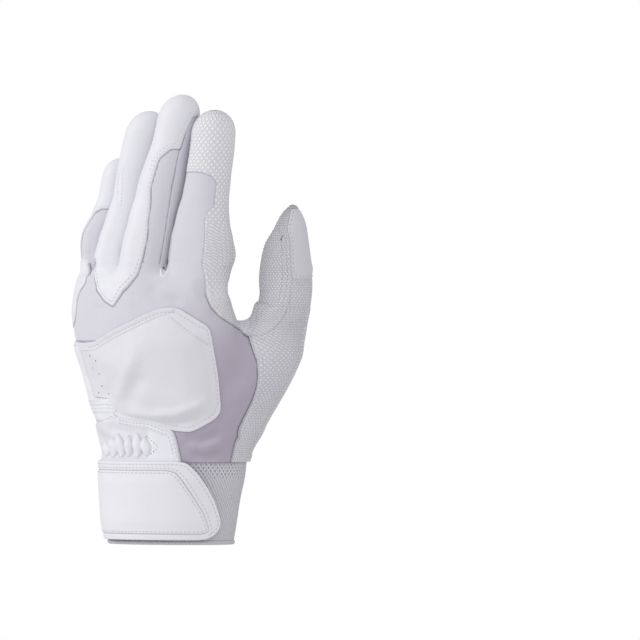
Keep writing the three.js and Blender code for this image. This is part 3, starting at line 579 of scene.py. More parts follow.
def flex_line(name):
    """A point on the finger's middle line at its knuckle, and the finger's direction."""
    rows = LIMBS[name]
    s = table_at(rows, np.array([FLEX[name]]))[0]
    base = np.array([s[0] * PALM_W, s[1] * PALM_D, FLEX[name] * GLOVE])
    tip = np.array([rows[-1][1] * PALM_W, rows[-1][2] * PALM_D, rows[-1][0] * GLOVE])
    return base, (tip - base) / np.linalg.norm(tip - base)


def past_knuckle(p):
    """How far a point lies beyond the start of the fingers' flexing part."""
    total, weights = 0, 0
    for name in FINGERS[:4]:
        base, along = flex_line(name)
        w = np.exp(-np.clip(limb_field(name, p), -4, 30) / 1.2) + 1e-12    # nearest finger
        total, weights = total + w * ((p - base) @ along + HALF_FLEX), weights + w
    return total / weights


def past_thumb_knuckle(p):
    base, along = flex_line("thumb")
    apart = palm_and_web(p, 4) - limb_field("thumb", p)
    return np.minimum((p - base) @ along + HALF_FLEX, apart)


FAR, LEATHER_UNDERLAP, KNIT_UNDERLAP = 99., .35, 1.4


def panel_values(m, near, name, panels):
    """The panel's own reach (for its cut edge) and its distance to neighbours of its own kind."""
    own_knit = panels[name] == KNIT
    reach, valley, hem = (np.full(len(m["p"]), FAR) for _ in range(3))
    for other, kind in panels.items():
        if other == name:
            continue
        s = near[other] - near[name]
        under = own_knit and kind != KNIT
        reach = np.minimum(reach, s + (KNIT_UNDERLAP if under else LEATHER_UNDERLAP))
        if under:
            hem = np.minimum(hem, s)
        else:
            valley = np.minimum(valley, s)
    return reach, valley, hem


print("panels", len(HAND_PANELS) + sum(len(p) for p in FINGER_PANELS.values()))

# %% [markdown]
# ## Drawn outlines
# The pad, the folds and some stitch rows are drawn as the photograph shows them, on a grid of
# 0.53 mm that is seen from 25 degrees round to the thumb side. `drawn` turns a grid point into
# millimetres across and up. Lines are enough here, because the skin already has the depth.

# %% Outlines and their signed distance
GRID, GRID_MIDDLE, GRID_FOOT = .53, 171.2, 544


def drawn(points):
    q = np.array(points, float)
    return np.stack([(q[:, 0] - GRID_MIDDLE) * GRID, (GRID_FOOT - q[:, 1]) * GRID], 1)


def seen(p):
    """Points as seen from the drawing's direction: across and up."""
    return np.stack([p[:, 0] * math.cos(VIEW) + p[:, 1] * math.sin(VIEW), p[:, 2]], 1)


def facing(n):
    """How far a surface faces the drawing's direction: 1 square on, 0 edge on."""
    return n[:, 0] * math.sin(VIEW) - n[:, 1] * math.cos(VIEW)


def leftward(n):
    """How far a surface turns to the drawing's left, towards the little finger."""
    return -(n[:, 0] * math.cos(VIEW) + n[:, 1] * math.sin(VIEW))


def rounded(q, times=2):
    for _ in range(times):
        nxt = np.roll(q, -1, axis=0)
        q = np.stack([.75 * q + .25 * nxt, .25 * q + .75 * nxt], 1).reshape(-1, 2)
    return q


def to_line(q, line, closed=False):
    """Distance from points to a line of points, and how far along it the nearest place is."""
    a = line if closed else line[:-1]
    b = np.roll(line, -1, axis=0) if closed else line[1:]
    best, share, run = np.full(len(q), 1e9), np.zeros(len(q)), 0.0
    lengths = np.linalg.norm(b - a, axis=1)
    for p0, p1, length in zip(a, b, lengths):
        t = np.clip(((q - p0) @ (p1 - p0)) / max(length ** 2, 1e-12), 0, 1)
        d = np.linalg.norm(q - p0 - t[:, None] * (p1 - p0), axis=1)
        closer = d < best
        best = np.where(closer, d, best)
        share = np.where(closer, run + t * length, share)
        run += length
    return best, share / run


def inside_distance(q, outline):
    """Distance to a closed outline, positive inside."""
    d, _ = to_line(q, outline, closed=True)
    x, y = q[:, 0], q[:, 1]
    odd = np.zeros(len(q), bool)
    for (x0, y0), (x1, y1) in zip(outline, np.roll(outline, -1, axis=0)):
        if y0 != y1:
            odd ^= ((y0 > y) != (y1 > y)) & (x < (x1 - x0) * (y - y0) / (y1 - y0) + x0)
    return np.where(odd, d, -d)


PAD = rounded(drawn([
    (78, 340), (86, 342.5), (95, 341.6), (102, 337), (112, 331), (124, 325), (140, 317), (155, 310),
    (167.5, 307), (180, 308), (188, 313), (199, 320), (210, 327), (212.5, 335), (214, 345),
    (217, 361), (219.5, 378), (221, 397), (222, 406), (221, 413), (216, 419), (206, 425),
    (193, 432), (183, 431.6), (173.5, 430.4), (164, 428), (150, 423), (134.5, 421.6), (119, 418),
    (113.5, 412), (112.5, 400), (103, 398.5), (95, 397.5), (93.5, 387), (88, 374), (82, 352)]), 1)

# %% [markdown]
# ## Soft relief
# Worn leather and knit are never flat. Each fold is a line with a height, a width and fading
# ends. Slow waves everywhere keep the large panels from looking machined. A cloth simulation
# would make folds of its own, but not the ones in the photograph.

# %% Folds and waves
FOLDS = [  # line on the grid, height in mm, half width in mm
    ([(182, 434), (200, 441), (226, 430)], -1.0, 2.6),
    ([(186, 444), (205, 449), (228, 440)], .8, 2.6),
    ([(188, 453), (208, 457), (229, 452)], -.8, 2.4),
    ([(222, 402), (238, 396), (256, 384)], .6, 4.0),
    ([(225, 340), (235, 360), (242, 385)], -.6, 5.0),
    ([(146, 285), (160, 300), (186, 304)], -1.0, 4.0),
    ([(186, 275), (196, 292), (214, 316)], .7, 4.5),
    ([(200, 280), (205, 296), (222, 322)], -.6, 3.0),
    ([(101, 302), (98, 318), (96, 332)], -.5, 4.0),
    ([(106, 427), (122, 430), (142, 433)], -1.2, 2.6),
    ([(98, 412), (107, 424), (110, 440)], .7, 1.9),
    ([(95, 424), (102, 438), (105, 452)], -.8, 2.0),
    ([(84, 250), (90, 262), (97, 268)], -.6, 2.2),
    ([(96, 258), (101, 270), (106, 283)], -.5, 2.0),
    ([(122, 240), (123, 262), (121, 285)], -.45, 1.8),
    ([(257, 309), (270, 304), (283, 296)], -.8, 2.2),
    ([(262, 316), (276, 309), (290, 297)], .5, 2.2),
    ([(268, 324), (283, 315), (298, 300)], -.5, 2.2),
    ([(296, 288), (303, 284), (311, 281)], -.45, 1.8),
    ([(282, 240), (283, 250), (281, 260)], -.5, 1.4),
    ([(226, 262), (229, 275), (226, 290)], -.4, 2.4),
]
BUMPS = [  # grid place, height in mm and width in mm, of worn dents and lumps seen at the edge
    (234, 255, 1.5, 4.6), (231, 291, -3.4, 2.8), (233, 303, -3.0, 4.5), (229, 205, -.5, 6.0),
    (256, 296, -1.6, 4.0), (251, 315, -2.0, 3.4), (246, 324, -5.0, 5.5), (311, 268, .5, 1.8)]


def folds(q, lines, part):
    """The height of all these folds at points seen across and up."""
    total = np.zeros(len(q))
    for line, height, width in lines:
        d, share = to_line(q, drawn(line))
        total += height * np.exp(-(d / width) ** 2) * faded(share, part)
    return total


def fold_height(p, n):
    q = seen(p)
    total = folds(q, FOLDS, .25)
    front, side = ramp(facing(n), 0, .3), ramp(facing(n), -.7, -.3)
    for x, y, height, width in BUMPS:
        d = np.linalg.norm((q - drawn([(x, y)])[0]) / (1, 1.25), axis=1)
        total += height * np.exp(-(d / width) ** 2) * side * np.maximum(1 - front, .35)
    return total * np.maximum(front, side * (q[:, 0] > 20))      # bumps only on the thumb side


def waves(p, size, seed):
    rng = np.random.default_rng(seed)
    total = np.zeros(len(p))
    for _ in range(7):
        k = rng.normal(size=3)
        k *= 2 * math.pi / (size * rng.uniform(.7, 1.5)) / np.linalg.norm(k)
        total += np.sin(p @ k + rng.uniform(0, 6.28))
    return total / 7


print("folds", len(FOLDS), "bumps", len(BUMPS))

# %% [markdown]
# ## Gathered leather
# Below the pad the leather is gathered on elastic thread. Each pucker is a lens that stands out
# between two tight lines. Six lenses are few enough to place one by one, each a little different.

# %% Puckers
PUCKER_LINES = ((105, 457, 441), (113, 458, 437), (120.5, 459, 433), (129, 458, 434),
                (138, 459, 431), (146.5, 457, 436))      # on the grid: across, foot and head
PUCKERS = [(*drawn([(x, low)])[0], drawn([(x, high)])[0, 1]) for x, low, high in PUCKER_LINES]
LAST_PUCKER = PUCKERS[-1][0]


def puckers(u, z):
    """Height of the gathers, from 0 between them to 1 on their crests."""
    total = np.zeros(len(u))
    for k, (c, low, high) in enumerate(PUCKERS):
        t = np.clip((z - low) / (high - low), 0, 1)
        bulge = np.sin(math.pi * t)
        width = .3 + (2.2 + .35 * math.sin(k * 1.7)) * bulge ** (1.0 + .15 * math.cos(k))
        lean = (1.2 * math.sin(k * 2.3) - .6) * (t - .5)
        side = np.abs(u - c - lean) / width
        total = np.maximum(total, bulge ** .8 * np.sqrt(np.clip(1 - side ** 2, 0, 1)))
    return total


print("puckers", len(PUCKERS))

# %% [markdown]
# ## The relief of each panel
# Leather swells where the hand form pushes it out, and is drawn in where it is sewn down. These
# amounts were read off the outline in the photograph, from the cuff up to the finger roots.

# %% Relief
RIB_FOOT, RIB_PITCH = 69.8, 2.0               # the pressed ribs beside the pad's lower corner
CUFF_SEAM = 49                                # panels thicken below this, into the cuff
KNIT_AT_CUFF = (182 * GRID - GRID_MIDDLE * GRID)         # the knit's left end at the cuff


def relief(name, p, n):
    """Height of a panel's own folds and swellings over the smooth skin, in mm."""
    out = fold_height(p, n) + .16 * waves(p, 22, 3)
    q = seen(p)
    across, z, left = q[:, 0], q[:, 1], leftward(n)
    outer_edge = ramp(left, .4, .9)
    out += .65 * outer_edge * band(z, 58, 70, 176, 186)
    out += .5 * outer_edge * band(z, 132, 142, 162, 170)
    out -= 1.3 * ramp(left, .3, .9) * band(z, 43, 46, 49, 54)
    if name.startswith("thumb"):
        out -= .4 + .9 * ramp(left, .2, .8)
    if name in ("side_leather_panel", "palm_panel"):
        out += 1.5 * ramp(-left, .4, .9) * band(z, 43, 47, 57, 66)
    if name == "shirred_wrist_panel":
        front = ramp(facing(n), 0, .4)
        out += 1.0 * ramp(left, .3, .9) * ramp(z, 53, 60)
        out += 2.4 * puckers(across, z) * front
        gathered = ramp(LAST_PUCKER + 4 - across, 0, 3)
        out -= band(z, 44, 48, 56, 62) * gathered * front
    if name in ("shirred_wrist_panel", "little_side_panel", "back_knit_panel"):
        out += (.9 * ramp(CUFF_SEAM - z, 0, 5) * ramp(facing(n), .1, .5)
                * ramp(KNIT_AT_CUFF - across, -2, 2))
    if name == "little_side_panel":
        swollen = band(z, 62, 80, 104, 112)
        out += 1.3 * ramp(-inside_distance(q, PAD), -.1, 1.5) * swollen * ramp(left, .1, .7)
        ribs = .5 + .5 * np.sin((z - RIB_FOOT) * 2 * math.pi / RIB_PITCH)
        out += .6 * ribs * band(z, 69, 70, 76.5, 77.5) * ramp(across + 43, 0, 2)
    if "knit" in name or "fourchette" in name:
        out += .10 * waves(p, 9, 8)
    return out


print("relief ready")

# %% [markdown]
# ## One cloth map for each kind of leather
# Pressed leather shows its pattern most where two panels meet, so the panels from the index to
# the thumb share one map, wound round each finger and blended over the hand. An unwrap of each
# panel would start the pattern anew at every seam.

# %% Cloth maps


def round_limb(limb, p, radius):
    """Distance round a finger from the side that faces the thumb, in millimetres."""
    s = table_at(LIMBS[limb], p[:, 2] / GLOVE)
    a, b = s[:, 2] * PALM_W, s[:, 3] * PALM_D
    return radius * np.arctan2((p[:, 1] - s[:, 1] * PALM_D) / b, (p[:, 0] - s[:, 0] * PALM_W) / a)


def thumb_side_uv(p):
    """One cloth map for all the leather from the index to the thumb, so no pattern breaks."""
    across = p[:, 0] * math.cos(VIEW) + p[:, 1] * math.sin(VIEW)
    depth = p[:, 1] * math.cos(VIEW) - p[:, 0] * math.sin(VIEW)
    flat, turned = across + .8 * depth, 46 * np.arctan2(p[:, 1], p[:, 0] - 10) + 28.4
    hand = turned + (flat - turned) * ramp(p[:, 2], 98, 124)
    index = round_limb("index", p, 12.5) + 33
    thumb = round_limb("thumb", p, 14.0) + 62
    near = lambda name: np.exp(-np.clip(limb_field(name, p), 0, 30) / 3.0)
    w_index = near("index") * ramp(p[:, 2], 143, 172)
    w_thumb = near("thumb") * ramp(p[:, 2], 112, 134) * ramp(50 - across, -60, -6)
    w_hand = np.clip(1 - w_index - w_thumb, 0, 1)
    total = w_index + w_thumb + w_hand
    return np.stack([(w_index * index + w_thumb * thumb + w_hand * hand) / total, p[:, 2]], 1)


def cloth_uv(name, p):
    finger = name.split("_")[0]
    if name == "palm_panel":
        return p[:, [0, 2]]
    if finger in ("index", "thumb", "side", "web"):
        return thumb_side_uv(p)
    if finger in FINGERS:
        return np.stack([round_limb(finger, p, 10.5), p[:, 2]], 1)
    return np.stack([46 * np.arctan2(p[:, 1], p[:, 0] - 10), p[:, 2]], 1)


print("cloth map at the origin", cloth_uv("palm_panel", np.zeros((1, 3))))

# %% [markdown]
# ## The panels
# A leather panel is skived and turned under at its edge, so it stands up with a rounded rim. Knit
# is thinner and runs a little way under its leather neighbours. Each panel is the skin cut by its
# own reach, with extra rows of points where the edge rolls over.

# %% Height and shade of a panel
LIFT, TURN, PANEL_THICK = .55, .75, .9        # a panel's rise, its rolled edge and its thickness
KNIT_ROWS, LEATHER_ROWS, BOUND_ROWS = (.35, .9), (.08, .3, .75), (3.7, 4.1)
BOUND_WIDTH = 4.1                             # the folded edge above the puckers
UP = np.array([0, 0, .8])
PIECE = {}
MESH = {}
BODY = {}


def panel_height(name, kind, part):
    v = part["v"]
    if kind == KNIT:
        return -.45 * (1 - ramp(v["valley"], -.1, 1.0))
    edge = 1 - np.clip(v["valley"] / TURN, 0, 1)
    stay = .5 if kind == GRIP or name == "thumb_smooth_patch" else .1     # how blunt the rim is
    height = LIFT * (stay + (1 - stay) * np.sqrt(1 - edge ** 2))
    height = height + .15 * ramp(v["valley"], .5, 4)
    if name == "shirred_wrist_panel":
        right_part = ramp(seen(part["p"])[:, 0], -22, -12)
        folded = ramp(BOUND_WIDTH - v["valley"], 0, .4) * ramp(v["valley"], 0, .6)
        height = height + .5 * folded * right_part
    if name in ("web_leather_panel", "thumb_inner_panel"):
        height = height + .35 * np.exp(-((v["valley"] - .9) / .8) ** 2)
    return height


def seam_shade(name, kind, part):
    """What the finishes read as distance from a seam: small values get painted shade."""
    v, q = part["v"], seen(part["p"])
    dark = np.clip(v["valley"], -2, 30)
    if kind == KNIT:                          # no shade where the leather's edge faces the light
        lit = ramp(part["p"][:, 2], 126, 138) * ramp(q[:, 0], 7, 9)
        dark = np.minimum(v["hem"], np.clip(v["valley"], 0, 3) + .52)
        dark = np.clip(np.maximum(dark, .38 + .5 * lit), -2, 30)
    # Painted shade in thin rings between the puckers, with less of it on the panel's far left.
    if name == "shirred_wrist_panel":
        dark = np.maximum(dark, .3 * ramp(-29 - q[:, 0], 0, 3))
        gathered = ramp(LAST_PUCKER + 3 - q[:, 0], 0, 3)
        between = np.abs(puckers(q[:, 0], q[:, 1]) - .2)
        dark = np.minimum(dark, .06 + between * (.9 - .45 * gathered))
    # Less painted shade at the thumb panels' seams.
    if name in ("thumb_inner_panel", "thumb_back_panel"):
        dark = np.maximum(dark, .14)
    return dark


print("extra rows at a leather edge", LEATHER_ROWS)

# %% Cut and raise one panel


def panel(m, name, panels, body, joined):
    kind = panels[name]
    near = {k: m["v"][k] for k in panels}
    rounds = 5 if name.startswith("little_") and body != "hand" else 2
    reach, valley, hem = (smoothed(m, np.clip(v, -12, 12), rounds)
                          for v in panel_values(m, near, name, panels))
    part = {**m, "v": {"reach": reach, "valley": valley, "hem": hem, "joined": joined}}
    part = cut(part, "reach")
    if name in ("shirred_wrist_panel", "little_side_panel"):
        part = finer(part)                    # puckers and ribs need smaller facets
    levels = KNIT_ROWS if kind == KNIT else LEATHER_ROWS
    for level in levels + (BOUND_ROWS if name == "shirred_wrist_panel" else ()):
        part = cut(part, "valley", level, both_sides=True) or part
    v = part["v"]
    height = panel_height(name, kind, part) + relief(name, part["p"], part["n"])
    if body == "hand":
        height -= .35 * ramp(v["joined"], 0, .5)
        plain = (v["joined"] > -.3).astype(float)
    else:
        plain = (v["joined"] < .02).astype(float)
    values = {"seam": seam_shade(name, kind, part)}
    if kind == KNIT:                          # how steeply each fold rises, for its light and shade
        above, below = (fold_height(part["p"] + step, part["n"]) for step in (UP, -UP))
        values["fold"] = (above - below) / 1.6
    obj = build(name + "_sewn", part, height, PANEL_THICK, cloth_uv(name, part["p"]), values, plain)
    PIECE[name], MESH[name], BODY[name] = obj, (part, height), body
    return obj


print("panel maker ready")

# %% [markdown]
# ## The hand's panels
# The hand's skin ends inside the cuff and a little way past each knuckle, where the fingers'
# own skins take over. The root leather of the middle fingers ends at the ring finger's side.

# %% Hand
HAND_FOOT = 43.7                              # inside the cuff
ROOT_LEATHER_END = -40.4
hand_skin["v"] = distances(HAND_PANELS, hand_skin["p"])
ring_side = ROOT_LEATHER_END - seen(hand_skin["p"])[:, 0]
hand_skin["v"]["finger_root_leather"] += 6 * (
    ramp(ring_side, -.3, .8) * ramp(hand_skin["p"][:, 2], 132, 134)
    * ramp(facing(hand_skin["n"]), -.35, -.25))
hand_skin["v"]["foot"] = hand_skin["p"][:, 2] - HAND_FOOT
hand_skin["v"]["fingers"] = OVERLAP - past_knuckle(hand_skin["p"])
hand_skin["v"]["thumb"] = OVERLAP - past_thumb_knuckle(hand_skin["p"])
for key in ("foot", "fingers", "thumb"):
    hand_skin = cut(hand_skin, key)
joined = OVERLAP - np.minimum(hand_skin["v"]["fingers"], hand_skin["v"]["thumb"])
for name in HAND_PANELS:
    panel(hand_skin, name, HAND_PANELS, "hand", joined)
    print(name, len(PIECE[name].data.polygons))

# %% [markdown]
# ## The fingers' panels
# A finger's panels are packed above its knuckle. Points on the flexing part look up the seams a
# little higher, so each seam runs on straight across the knuckle.

# %% Fingers
for finger in FINGERS:
    m = finger_skins[finger]
    base, along = flex_line(finger)
    start = past_thumb_knuckle(m["p"]) if finger == "thumb" else past_knuckle(m["p"])
    beyond = (m["p"] - base) @ along + HALF_FLEX
    moved = m["p"] + np.clip(2 * HALF_FLEX + .8 - beyond, 0, None)[:, None] * along
    m["v"] = {**distances(FINGER_PANELS[finger], moved), "start": start}
    m = cut(m, "start")
    body = finger if finger == "thumb" else finger + "_finger"
    for name in FINGER_PANELS[finger]:
        panel(m, name, FINGER_PANELS[finger], body, m["v"]["start"])
        print(name, len(PIECE[name].data.polygons))

# %% [markdown]
# ## Pieces on their bodies
# Fabric doesn't turn about a pin: it stretches over the knuckle. The hand's and the strap's
# pieces ride on their bodies, and each finger piece keeps its place, its placement applied to its
# mesh.

# %% Bodies


def bend_with(obj, body):
    """A piece rides on its body, or, for a finger, keeps its place with its placement applied to
    its mesh.
    """
    if body in ("hand", "strap"):
        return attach(obj, body)
    base, along = flex_line(body.split("_")[0])
    start, end = base - along * (HALF_FLEX - .8), base + along * (HALF_FLEX + 2.5)
    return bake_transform(obj, "hand", body, start=tuple((start + ORIGIN) * MM),
                    end=tuple((end + ORIGIN) * MM))


for name, obj in PIECE.items():
    bend_with(obj, BODY[name])
    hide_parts(name)
for finger in FINGERS:
    first = next(iter(FINGER_PANELS[finger]))
    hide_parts(finger + "_flex_sleeve")
print("pieces on their bodies", len(PIECE))

# %% [markdown]
# ## The padded back
# The pad is a leather cover over moulded foam. Its rim is sewn flat, and its middle swells. The
# cover is laid on the hand's own skin inside the drawn outline, so it can't float, and its swell
# and folds are heights over that skin: a moulded pad keeps its form, so nothing has to be draped.

# %% Tools for a piece laid on the hand


def on_hand(outline, reach=0.0):
    """The part of the hand's skin inside an outline, as seen from the drawing's direction."""
    m = {**hand_skin, "v": {"joined": joined}}
    d = inside_distance(seen(m["p"]), outline) + reach
    m["v"]["front"] = facing(m["n"]) + .25
    m["v"]["in"] = np.clip(d, -12, 60)
    m = cut(m, "front", 0.0)
    return cut(m, "in", 0.0)


def refined(m, key, levels):
    for level in levels:
        m = cut(m, key, level, both_sides=True) or m
    return m


TOP_LEFT = drawn([(76, 341), (86, 342.5), (95, 341.6), (102, 337), (112, 331), (124, 325),
                  (140, 317), (155, 310), (168, 306)])
LEFT = drawn([(77, 338), (82, 352), (88, 374), (93.5, 387), (95, 397), (103, 398.5),
              (112, 399), (113, 412)])
CORNER = drawn([(172, 317), (181, 325), (192, 333), (202, 340), (211, 346)])
STRIP_WIDE, SEAM_IN, RIM = 4.5, 2.6, .9      # the folded strip, the stitched groove, the rim
PAD_FOLDS = [  # line on the grid, height in mm, half width in mm
    ([(116, 413), (120, 402), (126, 390), (131, 378), (136, 364), (143, 346)], 1.7, 3.6),
    ([(128, 410), (134, 399), (141, 386), (148, 370)], -1.3, 4.2),
    ([(119, 412), (138, 414), (158, 416), (178, 414.5), (198, 407), (217, 392)], 1.8, 2.6),
    ([(146, 421), (162, 423.5), (178, 425), (196, 420), (212, 409)], -.9, 1.7),
    ([(114.5, 398), (115, 411)], .5, .7), ([(117.6, 399), (118.4, 410)], .4, .7),
    ([(105, 352), (128, 340), (150, 330)], -.6, 5.0)]
print("pad folds", len(PAD_FOLDS))

# %% [markdown]
# ### The pad's cover
# From the rim inwards: a rolled rim, a folded strip along the upper left, the stitched groove,
# and then the swell of the foam. On the left the pad runs out softly, without a groove.

# %% Pad cover
pad = on_hand(PAD)
pad = finer(pad)
pad["v"]["strip"] = STRIP_WIDE - to_line(seen(pad["p"]), TOP_LEFT)[0]
pad = refined(refined(pad, "in", (.1, .35, .8)), "strip", (0., .25, .5))
q = seen(pad["p"])
d, strip = pad["v"]["in"], pad["v"]["strip"]
edge = 1 - np.clip(d / RIM, 0, 1)
soft_edge = ramp(6 - to_line(q, LEFT)[0], 0, 5)
height = .2 + .75 * np.sqrt(1 - edge ** 2)
height = height + .55 * ramp(leftward(pad["n"]), .3, .9) + .12 * soft_edge
swell = 2.4 * ramp(d, 3.0, 19) + .9 * ramp(d, 2.6, 8)
pad["v"]["row"] = d + 1.1 * ramp(q[:, 0], 16, 19) * ramp(q[:, 1], 71, 76)
height += .42 * ramp(strip, 0, .5) * ramp(d, 0, .8)
height -= .28 * np.exp(-((pad["v"]["row"] - SEAM_IN) / .7) ** 2) * (1 - soft_edge)
height -= .35 * np.exp(-(to_line(q, CORNER)[0] / .75) ** 2)
height += smoothed(pad, folds(q, PAD_FOLDS, .3), 3) * ramp(d, .3, 2.5)
height = height + smoothed(pad, swell, 14) + .12 * waves(pad["p"], 17, 12)
# The seam value gives the cover painted shade along its rim, wider on its soft left edge.
cover = build("back_pad_cover_sewn", pad, height, 1.0, cloth_uv("pad", pad["p"]),
              {"seam": d - .4 * soft_edge})
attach(cover, "hand")
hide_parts("back_pad_cover")
PIECE["back_pad_cover"], MESH["back_pad_cover"] = cover, (pad, height)
print("pad cover", len(cover.data.polygons))

# %% [markdown]
# ### The foam under the cover
# It is never seen, but a pad without its filling would be an empty shell. It follows the cover's
# underside and stops short of the sewn rim.

# %% Foam
FOAM_INSET, COVER_DEPTH = 6.0, 1.2
inner = cut({**pad, "v": {"in": pad["v"]["in"] - FOAM_INSET, "top": height}}, "in")
under = np.maximum(inner["v"]["top"] - COVER_DEPTH, .25)
foam = build("back_pad_foam_sheet", inner, under, under - .05)
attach(foam, "hand")
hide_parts("back_pad_foam")
PIECE["back_pad_foam"] = foam
print("foam", len(foam.data.polygons))

# %% [markdown]
# ## Cuff and strap
# Both lie on the cuff's oval sections, so a piece is a sheet of angle and height. A bent plane
# would do for the strap alone, but then the cuff under it would need the same bend again.

# %% Sheets round the cuff
MEAN = (CUFF[0][3] * PALM_W + CUFF[0][4] * PALM_D) / 2      # the cuff's mean radius


def arc(length):
    return math.degrees(length / MEAN)


def cuff_point(z, degrees, grow):
    s = table_at(CUFF, z / GLOVE)
    a = np.radians(degrees)
    return np.stack([s[:, 0] * PALM_W + (s[:, 2] * PALM_W + grow) * np.cos(a),
                     s[:, 1] * PALM_D + (s[:, 3] * PALM_D + grow) * np.sin(a), z], 1)


def cuff_sheet(low, high, start, end, grow, cell):
    """A sheet round the cuff with outward normals; its flat size is kept as across and up."""
    rows = max(2, int((high - low) / cell) + 1)
    columns = max(3, int(abs(end - start) / arc(cell)) + 1)
    z, turn = np.meshgrid(np.linspace(low, high, rows), np.linspace(start, end, columns),
                          indexing="ij")
    z, turn = z.ravel(), turn.ravel()
    grown = grow(turn) if callable(grow) else np.full(len(z), float(grow))
    p = cuff_point(z, turn, grown)
    n = unit(cuff_point(z, turn, grown + 1) - p)
    i = np.arange(rows * columns).reshape(rows, columns)
    a, b, c, d = i[:-1, :-1].ravel(), i[:-1, 1:].ravel(), i[1:, 1:].ravel(), i[1:, :-1].ravel()
    tris = np.concatenate([np.stack([a, b, c], 1), np.stack([a, c, d], 1)])
    return {"p": p, "n": n, "t": tris, "v": {"turn": turn, "z": z, "across": turn / arc(1.0)}}


print("mean radius", MEAN)

# %% [markdown]
# ### The strap
# The strap is a leather base, a raised panel with a point, and a bound edge between the two. It
# is sewn to the cuff on the hidden side, lifts over the cuff and fastens on its loop patch.

# %% Strap outlines
SLIT, ROOT, FASTEN, PATCH_END = 200, 168, 238, 300       # degrees round the cuff
STRAP_LOW, STRAP_TALL, STRAP_REACH = 2.6, 41.5, 333
BORDER_WIDE = 5.6                             # the bound edge at the strap's sewn root
STRAP_END = [  # share of the strap's height, degrees round the cuff
    (0, 311), (.012, 318), (.035, 322), (.07, 325.6), (.11, 328), (.16, 329.8), (.20, 330),
    (.27, 329), (.34, 327), (.49, 322), (.67, 314), (.85, 305), (.95, 299), (.985, 296), (1, 290)]
PANEL_END = [(.08, 312), (.095, 317), (.12, 319.5), (.16, 318.5), (.34, 313), (.56, 303),
             (.78, 293), (.855, 289), (.885, 283)]


def strap_lift(turn):
    t = np.clip((turn - SLIT) / (FASTEN - SLIT), 0, 1)
    return .3 + 2.4 * t * t * (3 - 2 * t)


def strap_outline(end, low, high, left):
    q = [(a / arc(1.0), STRAP_LOW + t * STRAP_TALL) for t, a in end]
    return np.array([(left, low)] + q + [(left, high)])


left = ROOT / arc(1.0) + .2
STRAP = strap_outline(STRAP_END, STRAP_LOW, STRAP_LOW + STRAP_TALL, left)
RAISED = strap_outline(PANEL_END, STRAP_LOW + .08 * STRAP_TALL,
                       STRAP_LOW + .885 * STRAP_TALL, left + BORDER_WIDE)
cell = .8
print("strap", np.ptp(STRAP, axis=0), "mm across and up")

# %% Strap pieces


def strap_piece(name, outline, lift, thick, round_off, swell, extra=None):
    """One layer of the strap, raised by lift; extra is an outline that is left open in it."""
    m = cuff_sheet(STRAP_LOW - 1, STRAP_LOW + STRAP_TALL + 1, ROOT - 2, STRAP_REACH,
                   strap_lift, cell)
    flat = np.stack([m["v"]["across"], m["v"]["z"]], 1)
    m["v"]["in"] = inside_distance(flat, outline)
    if extra is not None:
        m["v"]["hole"] = -inside_distance(flat, extra)
    m = cut(m, "in")
    if extra is not None:
        m = cut(m, "hole")
        m["v"]["in"] = np.minimum(m["v"]["in"], m["v"]["hole"])
    m = refined(m, "in", (.08, .25, .6, 1.1))
    d = m["v"]["in"]
    rim = 1 - np.clip(d / round_off, 0, 1)
    height = lift - thick * .6 * (1 - np.sqrt(1 - rim ** 2)) + swell * ramp(d, 1, 7)
    height += .12 * waves(m["p"], 15, 5)
    uv = np.stack([m["v"]["across"], m["v"]["z"]], 1)
    # The seam value gives each strap layer painted shade along its edge.
    obj = build(name + "_sewn", m, height, thick, uv, {"seam": d})
    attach(obj, "strap")
    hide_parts(name)
    PIECE[name], MESH[name] = obj, (m, height)
    return obj


strap_piece("strap_base", STRAP, 1.4, 1.4, 1.2, 0)
strap_piece("strap_border", STRAP, 2.3, .9, .9, .1, extra=RAISED)
strap_piece("strap_raised_panel", RAISED, 2.75, 1.2, .9, .45)
print("strap layers", [name for name in PIECE if name.startswith("strap")])

# %% [markdown]
# ### The cuff and what is sewn to it
# The cuff is an elastic band with a slit, a thin web behind the slit, and a turned lower hem. The
# hook patch under the strap meets the loop patch on the cuff.

# %% Cuff pieces
BAND_TOP, HEM_TOP, SLIT_HALF = 44.1, 2.3, 3.0


def cuff_piece(name, body, low, high, start, end, grow, thick, size, rise=None):
    m = cuff_sheet(low, high, start, end, grow, size)
    height = np.zeros(len(m["p"])) if rise is None else rise(m)
    uv = np.stack([m["v"]["across"], m["v"]["z"]], 1)
    obj = build(name + "_sewn", m, height, thick, uv)
    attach(obj, body)
    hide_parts(name)
    PIECE[name], MESH[name] = obj, (m, height)
    return obj


def ribbed(m):
    """The band's top edge rolls in, and its face waves a little."""
    top = 1 - np.clip(BAND_TOP - m["v"]["z"], 0, 1)
    return -.5 * top ** 2 + .10 * waves(m["p"], 13, 21)


def rolled_hem(m):
    return .75 * np.sqrt(np.clip(1 - (m["v"]["z"] / (HEM_TOP / 2) - 1) ** 2, 0, 1))


first, last = SLIT + arc(SLIT_HALF), SLIT - arc(SLIT_HALF) + 360
cuff_piece("cuff_band", "hand", 2.4, BAND_TOP, first, last, 0, 1.4, cell, ribbed)
cuff_piece("cuff_hem", "hand", 0, HEM_TOP, first, last, 0, 2.1, .57, rolled_hem)
cuff_piece("slit_gusset", "hand", 2.5, 44, SLIT - arc(9), SLIT + arc(9), -1.7, .9, 1.5)
cuff_piece("cuff_loop_patch", "hand", 5, 41, FASTEN, PATCH_END, 1.2, .9, 1.5)
cuff_piece("strap_hook_patch", "strap", 5, 41, FASTEN, PATCH_END,
           lambda turn: strap_lift(turn) - .3, .9, 1.5)
cuff_piece("strap_root_tab", "hand", 3.7, 43.6, ROOT - arc(12), ROOT - arc(.2), 1.7, 1.4, 1.0)
print("cuff and strap done")

# %% [markdown]
# ## The elastic behind the shirring
# A band is sewn inside the wrist, under the gathered leather, and draws it in. It lies on the
# hand's skin like the pad, only deeper.

